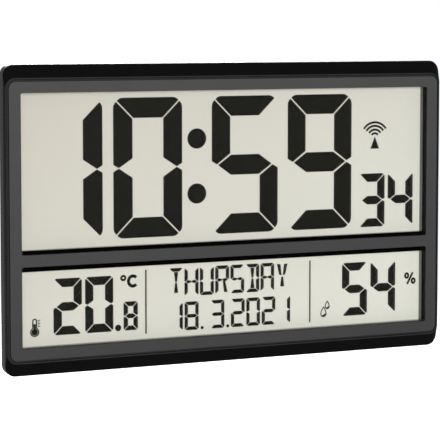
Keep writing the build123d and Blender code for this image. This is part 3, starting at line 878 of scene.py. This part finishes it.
@dataclass(frozen=True)
class MouldedPlastic:
    """Textured moulded plastic: a fine grain in relief, a soft drift of tone and uneven gloss."""

    name: str
    colour: Triple
    roughness: float
    grain: float = 0.5
    depth: float = 0.02
    drift: float = 0.12
    specular: float = 0.5
    drift_size: float = 18.0
    drift_detail: float = 3.0
    gloss_drift: float = 0.06
    strength: float = 0.6

    def shader(self) -> Shader:
        """Puts the finish together.

        Returns:
            The node material.
        """
        made = Shader(self.name, self.roughness, self.specular)
        made.colour(self.face(made))
        fine = made.noise(self.grain)
        made.gloss(fine, self.gloss_drift, self.gloss_drift)
        made.relief(fine, self.depth, self.strength)
        return made

    def face(self, made: Shader) -> Socket:
        """The base colour, which a finish of more than one tone puts together in its own way."""
        return self.tone(made, self.colour)

    def tone(self, made: Shader, colour: Triple) -> Socket:
        """A colour with the finish's soft drift."""
        noise = made.noise(self.drift_size, self.drift_detail)
        return made.mottle(noise, colour, 1 - self.drift, 1 + self.drift)


@dataclass(frozen=True)
class RimPlastic(MouldedPlastic):
    """Black case whose flat front faces, the ridge and the groove round the facing, are painted dark grey: a
    painted sheen of the light these faces catch.

    The flat faces are told apart by how far the surface faces forward.
    """

    # painted sheen: the grey of the forward-facing flat faces
    ridge: Triple = (0.030, 0.030, 0.031)
    slope: float = 0.965
    flat: float = 0.990

    def face(self, made: Shader) -> Socket:
        """Black, and painted grey, a painted sheen, where the surface faces forward."""
        # painted sheen: grey by how far the surface faces forward
        share = made.spread(made.axis("Y", "Normal"), (-self.flat, 1.0), (-self.slope, 0.0))
        return made.blend(share, self.tone(made, self.colour), self.tone(made, self.ridge))


@dataclass(frozen=True)
class FacingPlastic(MouldedPlastic):
    """Matte facing, painted a little paler at its top than at its foot as a painted sheen of brighter light
    from above, with its cut edges painted black as painted shade.

    The edges are told apart by how little the surface faces forward. The reach is in metres.
    """

    # painted sheen: the darker grey at the facing's foot, against the paler colour at its top
    foot: Triple = (0.048, 0.048, 0.048)
    # painted shade: the black of the cut edges, which lie in shade
    edge: Triple = (0.004, 0.004, 0.004)
    reach: float = 0.103
    edge_shade_range: Span = (0.35, 0.80)

    def face(self, made: Shader) -> Socket:
        """A grey that goes with the height, a painted sheen, and painted black shade on the edges.

        Args:
            made: Shader that takes the nodes.

        Returns:
            The base colour.
        """
        # painted sheen: the grey grows paler towards the top
        height = made.spread(made.axis("Z"), (-self.reach, 0.0), (self.reach, 1.0))
        front = made.blend(height, self.tone(made, self.foot), self.tone(made, self.colour))
        # painted shade: black where the surface turns away from the front
        forward = made.maths("ABSOLUTE", made.axis("Y", "Normal"))
        low, high = self.edge_shade_range
        return made.blend(made.spread(forward, (low, 1.0), (high, 0.0)), front, self.edge)


@dataclass(frozen=True)
class ClearSheet:
    """Clear acrylic: nearly all of the light passes, with a faint gloss and a trace of dust."""

    name: str
    colour: Triple
    alpha: float
    roughness: float = 0.04
    specular: float = 0.4
    refractive_index: float = 1.45
    dust: float = 2.0
    dust_detail: float = 4.0
    dust_range: Span = (0.35, 0.75)
    dust_gloss: float = 0.02
    dust_tone: float = 0.97

    def shader(self) -> Shader:
        """Puts the finish together.

        Returns:
            The node material.
        """
        made = Shader(self.name, self.roughness, self.specular)
        made.set({"Transmission Weight": 1.0, "IOR": self.refractive_index, "Alpha": self.alpha})
        dust = made.noise(self.dust, self.dust_detail)
        made.gloss(dust, self.dust_gloss, self.dust_gloss, self.dust_range)
        made.colour(made.mottle(dust, self.colour, 1.0, self.dust_tone))
        return made


@dataclass(frozen=True)
class DisplayGlass:
    """Pale liquid crystal glass over a pearl reflector: a fine speckle, and painted light across the glass.

    The tone goes from warm at the upper left to cool and paler at the lower right, a painted lightening that
    stands in for how light falls on the display. Its half sizes are in metres.
    """

    name: str
    # painted light: the darker tone at the upper left and the paler one at the lower right
    warm: Triple
    cool: Triple
    half_width: float = 0.17
    half_height: float = 0.095
    painted_light_across: float = 0.55
    painted_light_down: float = 0.45
    roughness: float = 0.42
    specular: float = 0.2
    speckle: float = 0.35
    speckle_detail: float = 1.0
    speckle_range: Span = (0.4, 0.8)
    speckle_share: float = 0.10
    speckle_tone: float = 0.8
    depth: float = 0.004
    strength: float = 0.4

    def shader(self) -> Shader:
        """Puts the finish together.

        Returns:
            The node material.
        """
        made = Shader(self.name, self.roughness, self.specular)
        # painted light: the colour grows paler and cooler towards the lower right
        across = made.spread(made.axis("X"), (-self.half_width, 0.0), (self.half_width, self.painted_light_across))
        down = made.spread(made.axis("Z"), (self.half_height, 0.0), (-self.half_height, self.painted_light_down))
        tone = made.blend(made.maths("ADD", across, down), self.warm, self.cool)
        grain = made.noise(self.speckle, self.speckle_detail)
        low, high = self.speckle_range
        share = made.spread(grain, (low, 0.0), (high, self.speckle_share))
        made.colour(made.blend(share, tone, tinted(self.warm, self.speckle_tone)))
        made.relief(grain, self.depth, self.strength)
        return made


@dataclass(frozen=True)
class Ink:
    """Dark display bars or a print: an even colour with a faint fine mottle."""

    name: str
    colour: Triple
    roughness: float
    specular: float
    mottle: float = 0.8
    drift: float = 0.07

    def shader(self) -> Shader:
        """Puts the finish together.

        Returns:
            The node material.
        """
        made = Shader(self.name, self.roughness, self.specular)
        made.colour(made.mottle(made.noise(self.mottle), self.colour, 1 - self.drift, 1 + self.drift))
        return made


@dataclass(frozen=True)
class PlatedMetal:
    """Plated or drawn metal: fine streaks along one axis, in tone and in gloss."""

    name: str
    colour: Triple
    roughness: float
    stretch: Triple = (0.1, 1.0, 1.0)
    streak: float = 0.4
    detail: float = 3.0
    tones: Span = (0.8, 1.15)
    glosses: Span = (0.08, 0.10)
    depth: float = 0.01
    strength: float = 0.3

    def shader(self) -> Shader:
        """Puts the finish together.

        Returns:
            The node material.
        """
        made = Shader(self.name, self.roughness, metallic=1.0)
        streak = made.noise(self.streak, self.detail, self.stretch)
        made.colour(made.mottle(streak, self.colour, *self.tones))
        made.gloss(streak, *self.glosses)
        made.relief(streak, self.depth, self.strength)
        return made


@dataclass(frozen=True)
class StripedSkin:
    """A surface of even stripes along one axis: wire turns, ribbon strands or elastomer layers."""

    name: str
    light: Triple
    dark: Triple
    pitch: float
    roughness: float
    metallic: float = 0.0
    axis: str = "X"
    depth_share: float = 0.25
    strength: float = 0.6

    def shader(self) -> Shader:
        """Puts the finish together.

        Returns:
            The node material.
        """
        made = Shader(self.name, self.roughness, metallic=self.metallic)
        stripe = made.bands(self.pitch, self.axis)
        made.colour(made.blend(stripe, self.dark, self.light))
        made.relief(stripe, self.pitch * self.depth_share, self.strength)
        return made


@dataclass(frozen=True)
class CoatedBoard:
    """Solder-masked board: broad tracks that show through the coat as lighter, slightly raised patches."""

    name: str
    colour: Triple
    track: Triple
    roughness: float = 0.35
    pitch: float = 6.0
    track_range: Span = (0.40, 0.46)
    depth: float = 0.03
    strength: float = 0.5

    def shader(self) -> Shader:
        """Puts the finish together.

        Returns:
            The node material.
        """
        made = Shader(self.name, self.roughness)
        low, high = self.track_range
        tracks = made.spread(made.cells(self.pitch), (low, 0.0), (high, 1.0))
        made.colour(made.blend(tracks, self.colour, self.track))
        made.relief(tracks, self.depth, self.strength)
        return made


@dataclass(frozen=True)
class CellSleeve:
    """Plain battery sleeve: a dark body and a band of another colour at the positive end.

    The cells lie along X: the upper one points to +X and the lower one to -X. The band's start, from the
    middle of the cells, and its soft edge are in metres.
    """

    name: str
    body: Triple
    band: Triple
    band_start: float = 0.0100
    band_edge: float = 0.0003
    roughness: float = 0.25
    mottle: float = 3.0
    drift: float = 0.1

    def shader(self) -> Shader:
        """Puts the finish together.

        Returns:
            The node material.
        """
        made = Shader(self.name, self.roughness)
        low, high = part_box("battery_cells")
        above = made.maths("SUBTRACT", made.axis("Z"), (low.z + high.z) / 2)
        along = made.maths("MULTIPLY", made.maths("SIGN", above), made.axis("X"))
        share = made.spread(along, (self.band_start, 0.0), (self.band_start + self.band_edge, 1.0))
        skin = made.mottle(made.noise(self.mottle), self.body, 1 - self.drift, 1 + self.drift)
        made.colour(made.blend(share, skin, self.band))
        return made


class Finishes(Enum):
    """Every finish of the clock."""

    # CASE carries a painted sheen: its forward flat faces are painted grey
    CASE = RimPlastic("satin_case_black", (0.0035, 0.0035, 0.0036), roughness=0.36, grain=0.8, depth=0.006,
                      drift=0.15, specular=0.025)
    # FACING carries painted light: a paler top as painted sheen, and black cut edges as painted shade
    FACING = FacingPlastic("facing_dark_grey", (0.066, 0.066, 0.065), roughness=0.55, grain=0.35,
                           depth=0.016, drift=0.08, specular=0.12)
    LENS = ClearSheet("clear_window", (0.98, 0.99, 0.98), alpha=0.03)
    HOLDER = MouldedPlastic("gloss_holder_black", (0.022, 0.022, 0.020), roughness=0.10, grain=2.0,
                            depth=0.002, drift=0.10, specular=1.0)
    MASK = Ink("mask_black", (0.0015, 0.0015, 0.0015), roughness=0.6, specular=0.0)
    # GLASS carries painted light: its tone grows paler towards the lower right
    GLASS = DisplayGlass("display_glass", warm=(0.61, 0.58, 0.505), cool=(0.81, 0.815, 0.72))
    BARS = Ink("display_bars", (0.0105, 0.0105, 0.008), roughness=0.45, specular=0.03)
    REFLECTOR = MouldedPlastic("pearl_reflector", (0.72, 0.71, 0.66), roughness=0.5, grain=0.4, depth=0.01,
                               drift=0.03)
    REAR = MouldedPlastic("grained_rear_black", (0.020, 0.020, 0.021), roughness=0.56, grain=0.7, depth=0.05,
                          specular=0.22)
    DOOR = MouldedPlastic("grained_door_black", (0.023, 0.023, 0.024), roughness=0.54, grain=0.7, depth=0.05,
                          specular=0.22)
    STAND = MouldedPlastic("grained_stand_black", (0.021, 0.021, 0.022), roughness=0.50, grain=0.7,
                           depth=0.05, specular=0.22)
    KEY = MouldedPlastic("key_grey", (0.15, 0.15, 0.155), roughness=0.62, grain=0.4, drift=0.06,
                         specular=0.35)
    PRINT = Ink("rear_print_pale", (0.42, 0.42, 0.42), roughness=0.6, specular=0.2)
    BOARD = CoatedBoard("coated_board_green", (0.020, 0.11, 0.045), track=(0.035, 0.19, 0.075))
    CHIP = MouldedPlastic("epoxy_black", (0.022, 0.022, 0.022), roughness=0.45, grain=0.3, depth=0.01)
    STEEL = PlatedMetal("plated_steel", (0.62, 0.62, 0.63), roughness=0.28)
    ZINC = PlatedMetal("dark_zinc", (0.20, 0.20, 0.21), roughness=0.38)
    FERRITE = MouldedPlastic("sintered_ferrite", (0.055, 0.055, 0.06), roughness=0.5, grain=0.4, depth=0.03)
    WINDING = StripedSkin("copper_winding", (0.62, 0.28, 0.11), (0.22, 0.08, 0.03), pitch=0.35,
                          roughness=0.3, metallic=1.0)
    CELL = CellSleeve("cell_sleeve", body=(0.03, 0.06, 0.14), band=(0.55, 0.36, 0.14))
    LEAD_RED = MouldedPlastic("lead_red", (0.45, 0.025, 0.025), roughness=0.45, grain=0.4, depth=0.01,
                              drift=0.08)
    LEAD_BLACK = MouldedPlastic("lead_black", (0.018, 0.018, 0.018), roughness=0.45, grain=0.4, depth=0.01,
                                drift=0.08)
    RIBBON = StripedSkin("ribbon_grey", (0.45, 0.45, 0.46), (0.26, 0.26, 0.27), pitch=1.0, roughness=0.5)
    ZEBRA = StripedSkin("zebra_pink", (0.62, 0.34, 0.34), (0.08, 0.05, 0.05), pitch=0.4, roughness=0.6)


class Wardrobe:
    """Makes each finish once, and dresses the frame's own nodes in it."""

    def __init__(self) -> None:
        """Starts with no finish made."""
        self.made: dict[Finishes, bpy.types.Material] = {}

    def material(self, finish: Finishes) -> bpy.types.Material:
        """The material of a finish.

        Args:
            finish: The finish.

        Returns:
            Its material, made when it is first asked for.
        """
        if finish not in self.made:
            self.made[finish] = finish.value.shader().material
        return self.made[finish]

    def dress(self, finish: Finishes, *nodes: str) -> None:
        """Puts a finish on every material slot of some nodes.

        Args:
            finish: The finish.
            nodes: Names of nodes of the frame.
        """
        for name in nodes:
            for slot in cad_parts[name].material_slots:
                slot.material = self.material(finish)
            LOG.info("%s: %s", name, finish.value.name)


# Sub-assemblies


@dataclass
class Case:
    """Front housing, facing, clear window and the display holder with its printed mask."""

    mask_side: float = 167.5
    mask_top: float = -22.2
    mask_bottom: float = -38.05
    mask_thickness: float = 0.02

    def build(self, wardrobe: Wardrobe) -> None:
        """Dresses the nodes, and prints the black mask between the displays on the holder's front.

        Args:
            wardrobe: Holder of the finishes.
        """
        wardrobe.dress(Finishes.CASE, "front_housing")
        wardrobe.dress(Finishes.FACING, "bezel_facing")
        wardrobe.dress(Finishes.LENS, "window_lens")
        wardrobe.dress(Finishes.HOLDER, "display_holder")
        mask = PrintLayer("display_mask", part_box("display_holder")[0].y, self.mask_thickness)
        mask.fill(rectangle((-self.mask_side, self.mask_bottom), (self.mask_side, self.mask_top)))
        mask.piece(wardrobe.material(Finishes.MASK))


@dataclass
class Display(ABC):
    """One display: its glass, reflector and connector, and the dark artwork on the glass."""

    glass: str
    reflector: str
    connector: str
    thickness: float = 0.06

    @abstractmethod
    def artwork(self) -> dict[str, tuple[Mark, ...]]:
        """Names of the display's pieces, each with its marks."""

    def build(self, wardrobe: Wardrobe) -> None:
        """Dresses the nodes, and draws each piece of the artwork on the glass.

        Args:
            wardrobe: Holder of the finishes.
        """
        wardrobe.dress(Finishes.GLASS, self.glass)
        wardrobe.dress(Finishes.REFLECTOR, self.reflector)
        wardrobe.dress(Finishes.ZEBRA, self.connector)
        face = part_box(self.glass)[0].y
        for name, marks in self.artwork().items():
            layer = PrintLayer(name, face, self.thickness)
            for mark in marks:
                mark.draw(layer)
            layer.piece(wardrobe.material(Finishes.BARS))


@dataclass
class TimeDisplay(Display):
    """Upper display: hours, minutes, seconds and the time-signal mark."""

    glass: str = "lcd_time"
    reflector: str = "lcd_time_reflector"
    connector: str = "zebra_strip_time"
    time: Row = Row(Styles.TIME, "1059", lefts=(-157.15, -93.2, -13.4, 50.55), bottom=-17.05)
    colon: Dots = Dots(((-25.7, 14.9), (-25.7, 57.1)), radius=7.75, steps=64)
    seconds: Row = Row(Styles.SECONDS, "34", lefts=(113.2, 138.6), bottom=-17.25)
    signal: SignalMark = SignalMark(centre=(126.75, 54.2), radii=(3.3, 6.2, 9.2, 12.0), width=1.7,
                                    half_angle=55.0, mast_top=55.0, mast_foot=45.2, mast_half=3.9)

    def artwork(self) -> dict[str, tuple[Mark, ...]]:
        """Gathers the display's pieces.

        Returns:
            Names of the pieces, each with its marks.
        """
        return {
            "time_digits": (self.time, self.colon),
            "seconds_digits": (self.seconds,),
            "time_signal_mark": (self.signal,),
        }


@dataclass
class WeatherDisplay(Display):
    """Lower display: indoor temperature, weekday and date, and air humidity, between two thin dividers."""

    glass: str = "lcd_weather"
    reflector: str = "lcd_weather_reflector"
    connector: str = "zebra_strip_weather"
    degrees: Row = Row(Styles.CLIMATE, "20", lefts=(-140.75, -115.95), bottom=-87.3)
    tenth: Row = Row(Styles.TENTH, "8", lefts=(-85.5,), bottom=-87.3)
    point: Dots = Dots(((-89.8, -84.9),), radius=2.5, steps=40)
    humidity: Row = Row(Styles.CLIMATE, "54", lefts=(98.3, 123.65), bottom=-87.75)
    weekday: Row = Row(Styles.WEEKDAY, "THURSDAY", lefts=even(-48.7, pitch=12.72, count=8), bottom=-63.95)
    date: Row = Row(Styles.DATE, "1832021", lefts=(-48.95, -35.95, -14.5, 2.6, 15.6, 28.7, 41.5),
                    bottom=-90.4)
    date_points: Dots = Dots(((-21.4, -89.15), (-0.05, -89.15)), radius=1.25, steps=24)
    dividers: Dividers = Dividers(places=(-67.45, 70.15), ends=(-90.8, -41.7), width=1.2)
    degree_sign: DegreeSign = DegreeSign(ring=(-85.6, -47.1), ring_radius=1.6, ring_width=1.7,
                                         letter=(-77.9, -49.8), letter_radius=3.55, letter_width=2.5)
    percent_sign: PercentSign = PercentSign(centre=(159.35, -60.55), height=9.3, width=1.8)
    thermometer: Thermometer = Thermometer(bulb=(-155.3, -83.9), radius=3.1, tube=1.45, top=-74.2, width=1.0)
    small_drop: Drop = Drop(apex=(85.4, -74.7), height=6.2, half_width=1.9)
    large_drop: Drop = Drop(apex=(82.1, -79.2), height=7.9, half_width=2.5)

    def artwork(self) -> dict[str, tuple[Mark, ...]]:
        """Gathers the display's pieces.

        Returns:
            Names of the pieces, each with its marks.
        """
        return {
            "temperature_digits": (self.degrees, self.tenth, self.point),
            "humidity_digits": (self.humidity,),
            "weekday_letters": (self.weekday,),
            "date_digits": (self.date, self.date_points),
            "display_dividers": (self.dividers,),
            "unit_signs": (self.degree_sign, self.percent_sign),
            "thermometer_and_drops": (self.thermometer, self.small_drop, self.large_drop),
        }


@dataclass(frozen=True)
class KeyMarks(Mark):
    """Marks above the row of rear keys, as read from behind: the word SET, plus, minus and a wave sign.

    Shares of the marks' height give the letters' pitch and half width.
    """

    first_key: Point = (-150.0, 20.0)
    pitch: float = 17.0
    lift: float = 9.0
    height: float = 4.0
    width: float = 0.6
    letter_pitch: float = 0.85
    letter_half: float = 0.27
    short_arm: float = 0.8
    curl: float = 30.0
    wave_shares: tuple[float, ...] = (0.5, 1.0, 1.5)
    wave_angles: Span = (40.0, 140.0)

    def draw(self, layer: PrintLayer) -> None:
        """Adds a mark above each key.

        Args:
            layer: Layer that takes them.
        """
        x, z = self.first_key
        for step, mark in enumerate((self._set_word, self._plus, self._minus, self._waves)):
            mark(layer, -x - step * self.pitch, z + self.lift)

    def _set_word(self, layer: PrintLayer, x: float, z: float) -> None:
        """The word SET in plain strokes: S is two arcs of opposite turn, and E and T are straight lines.

        Args:
            layer: Layer that takes it.
            x: Middle of the word.
            z: Middle of its height.
        """
        edge = self.width / 2
        half, bowl = self.height / 2 - edge, self.height / 4 - edge / 2
        side = self.letter_half * self.height
        left, right = x - self.letter_pitch * self.height, x + self.letter_pitch * self.height
        upper = arc((left, z + half - bowl), bowl, self.curl, 270, steps=14)
        lower = arc((left, z - half + bowl), bowl, 90, self.curl - 180, steps=14)
        layer.line(np.concatenate((upper, lower[1:])), self.width)
        layer.line([(x - side, z - half - edge), (x - side, z + half + edge)], self.width)
        for level, reach in ((-half, side), (0.0, self.short_arm * side), (half, side)):
            layer.line([(x - side + edge, z + level), (x + reach, z + level)], self.width)
        layer.line([(right - side, z + half), (right + side, z + half)], self.width)
        layer.line([(right, z - half - edge), (right, z + half - edge)], self.width)

    def _plus(self, layer: PrintLayer, x: float, z: float) -> None:
        """Filled plus sign: the three corners of one arm, and the same turned by one to three quarters.

        Args:
            layer: Layer that takes it.
            x: Middle of the sign.
            z: Middle of its height.
        """
        half, arm = self.height / 2, self.width / 2
        quarters = [np.array([(half, -arm), (half, arm), (arm, arm)])]
        for _ in range(3):
            quarters.append(left_of(quarters[-1]))
        layer.fill(np.concatenate(quarters) + (x, z))

    def _minus(self, layer: PrintLayer, x: float, z: float) -> None:
        """Level line."""
        layer.line([(x - self.height / 2, z), (x + self.height / 2, z)], self.width)

    def _waves(self, layer: PrintLayer, x: float, z: float) -> None:
        """Arcs about a dot.

        Args:
            layer: Layer that takes it.
            x: Middle of the sign.
            z: Middle of its height.
        """
        half = self.height / 2
        for share in self.wave_shares:
            layer.line(arc((x, z - half), share * half, *self.wave_angles, steps=18), self.width)
        layer.fill(circle((x, z - half), self.width, steps=18))


@dataclass
class RearCover:
    """Rear cover with its screws, battery door, stand and keys, and the pale marks above the keys."""

    keys: tuple[str, ...] = ("set_button", "plus_button", "minus_button", "signal_button")
    marks: KeyMarks = KeyMarks()
    mark_thickness: float = 0.02

    def build(self, wardrobe: Wardrobe) -> None:
        """Dresses the rear pieces and prints the marks.

        Args:
            wardrobe: Holder of the finishes.
        """
        wardrobe.dress(Finishes.REAR, "rear_cover")
        wardrobe.dress(Finishes.DOOR, "battery_door")
        wardrobe.dress(Finishes.STAND, "stand_leg")
        wardrobe.dress(Finishes.KEY, *self.keys)
        wardrobe.dress(Finishes.ZINC, "case_screws")
        wardrobe.dress(Finishes.STEEL, "stand_hinge_pin")
        layer = PrintLayer("key_marks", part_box("rear_cover")[1].y, self.mark_thickness, Facing.REAR)
        self.marks.draw(layer)
        layer.piece(wardrobe.material(Finishes.PRINT))


@dataclass
class Works:
    """Pieces inside the case: cells, contacts, leads, boards with their parts, and the aerial."""

    finishes: tuple[tuple[Finishes, tuple[str, ...]], ...] = (
        (Finishes.CELL, ("battery_cells",)),
        (Finishes.STEEL, ("battery_contacts", "battery_link", "quartz_crystal")),
        (Finishes.LEAD_BLACK, ("battery_lead_negative",)),
        (Finishes.LEAD_RED, ("battery_lead_positive",)),
        (Finishes.BOARD, ("main_board", "button_board", "radio_board", "sensor_board")),
        (Finishes.CHIP, ("tact_switches", "controller_blob", "board_capacitors", "receiver_chip",
                         "climate_sensor")),
        (Finishes.ZINC, ("main_board_screws", "small_board_screws")),
        (Finishes.FERRITE, ("ferrite_rod",)),
        (Finishes.WINDING, ("antenna_coil",)),
        (Finishes.RIBBON, ("button_ribbon", "radio_ribbon", "sensor_ribbon")),
    )

    def build(self, wardrobe: Wardrobe) -> None:
        """Dresses every inner node."""
        for finish, nodes in self.finishes:
            wardrobe.dress(finish, *nodes)


# Stage


@dataclass(frozen=True)
class Lamp:
    """One soft round lamp, aimed at the clock, with its place and size in metres and its power in watts."""

    name: str
    place: Triple
    size: float
    power: float

    def build(self) -> None:
        """Makes the lamp."""
        light = bpy.data.lights.new(self.name, "AREA")
        light.shape = "DISK"
        light.size = self.size
        light.energy = self.power
        made = bpy.data.objects.new(self.name, light)
        bpy.context.scene.collection.objects.link(made)
        made.location = self.place
        made.rotation_euler = (-Vector(self.place)).to_track_quat("-Z", "Y").to_euler()
        made.visible_camera = False
        LOG.info("%s: %.0f W", self.name, self.power)


@dataclass
class Studio:
    """Pale floor well below the hung clock, a white surround, soft lamps and the photograph's camera.

    Places and sizes are in metres, angles in degrees.
    """

    floor_drop: float = 0.45
    floor_half: float = 6.0
    floor_points: int = 9
    floor_colour: Triple = (0.56, 0.56, 0.56)
    floor_mottle: float = 60.0
    floor_pale: float = 1.02
    floor_near: Point = (0.95, 0.62)
    floor_far: Point = (1.7, 0.92)
    ambient: float = 0.12
    camera_place: Triple = (-0.5310, -1.2965, 0.1470)
    camera_yaw: float = 22.352
    camera_pitch: float = 4.246
    camera_lens: float = 147.18
    camera_shift: float = -0.1498
    lamps: tuple[Lamp, ...] = (
        Lamp("key_lamp", (-0.95, -3.2, 0.30), size=0.8, power=56.0),
        Lamp("fill_lamp", (0.0, -3.0, 0.45), size=1.1, power=23.0),
        Lamp("rear_lamp", (0.8, 2.6, 1.0), size=1.6, power=75.0),
    )

    def build(self) -> None:
        """Sets the view transform, and makes floor, surround, lamps and camera."""
        bpy.context.scene.view_settings.view_transform = "Standard"
        self._floor()
        self._surround()
        for lamp in self.lamps:
            lamp.build()
        self._camera()

    def _floor(self) -> None:
        """Flat square grid under the clock, x and y in even steps and z the same all over."""
        line = np.linspace(-self.floor_half, self.floor_half, self.floor_points)
        x, y = np.meshgrid(line, line)
        z = np.full_like(x, CAD_BOX[0][2] - self.floor_drop)
        quads = grid_faces(self.floor_points, self.floor_points, False, False)
        mesh = bpy.data.meshes.new("floor")
        mesh.from_pydata(np.stack((x, y, z), axis=-1).reshape(-1, 3).tolist(), [], quads.tolist())
        mesh.materials.append(self._floor_shader().material)
        floor = bpy.data.objects.new("floor", mesh)
        bpy.context.scene.collection.objects.link(floor)

    def _floor_shader(self) -> Shader:
        """Diffuse grey that glows for the camera, gloss and glass, more so far from the clock.

        The near and far values are a distance from the frame's origin and the glow there.

        Returns:
            The floor's shader.
        """
        made = Shader("pale_floor", roughness=0.9, specular=0.0)
        made.colour(made.mottle(made.noise(self.floor_mottle), self.floor_colour, 1.0, self.floor_pale))
        made.surface.inputs["Emission Color"].default_value = WHITE
        distance = made.add("ShaderNodeVectorMath", operation="LENGTH")
        made.join(made.place(), distance.inputs[0])
        glow = made.spread(distance.outputs["Value"], self.floor_near, self.floor_far)
        made.join(made.maths("MULTIPLY", made.seen(), glow), made.surface.inputs["Emission Strength"])
        return made

    def _surround(self) -> None:
        """White surround that the camera, gloss and glass see, and a softer one that lights the clock."""
        world = bpy.data.worlds.new("white_surround")
        bpy.context.scene.world = world
        world.use_nodes = True
        nodes = Nodes(world.node_tree)
        back = world.node_tree.nodes["Background"]
        back.inputs["Color"].default_value = WHITE
        nodes.join(nodes.spread(nodes.seen(), (0.0, self.ambient), (1.0, 1.0)), back.inputs["Strength"])

    def _camera(self) -> None:
        """Camera at the photograph's place and angle, turned about Z and tilted down."""
        data = bpy.data.cameras.new("photo_camera")
        data.lens = self.camera_lens
        data.shift_y = self.camera_shift
        camera = bpy.data.objects.new("photo_camera", data)
        bpy.context.scene.collection.objects.link(camera)
        camera.location = self.camera_place
        camera.rotation_euler = (math.radians(90 - self.camera_pitch), 0.0, math.radians(-self.camera_yaw))
        bpy.context.scene.camera = camera
        LOG.info("photo_camera: lens %.1f mm", self.camera_lens)


def main() -> None:
    """Builds the clock's looks and the stage in order."""
    logging.basicConfig(level=logging.INFO, format="%(name)s %(message)s")
    wardrobe = Wardrobe()
    for assembly in (Case(), TimeDisplay(), WeatherDisplay(), RearCover(), Works()):
        LOG.info("building %s", type(assembly).__name__)
        assembly.build(wardrobe)
    Studio().build()


if __name__ == "__main__":
    main()
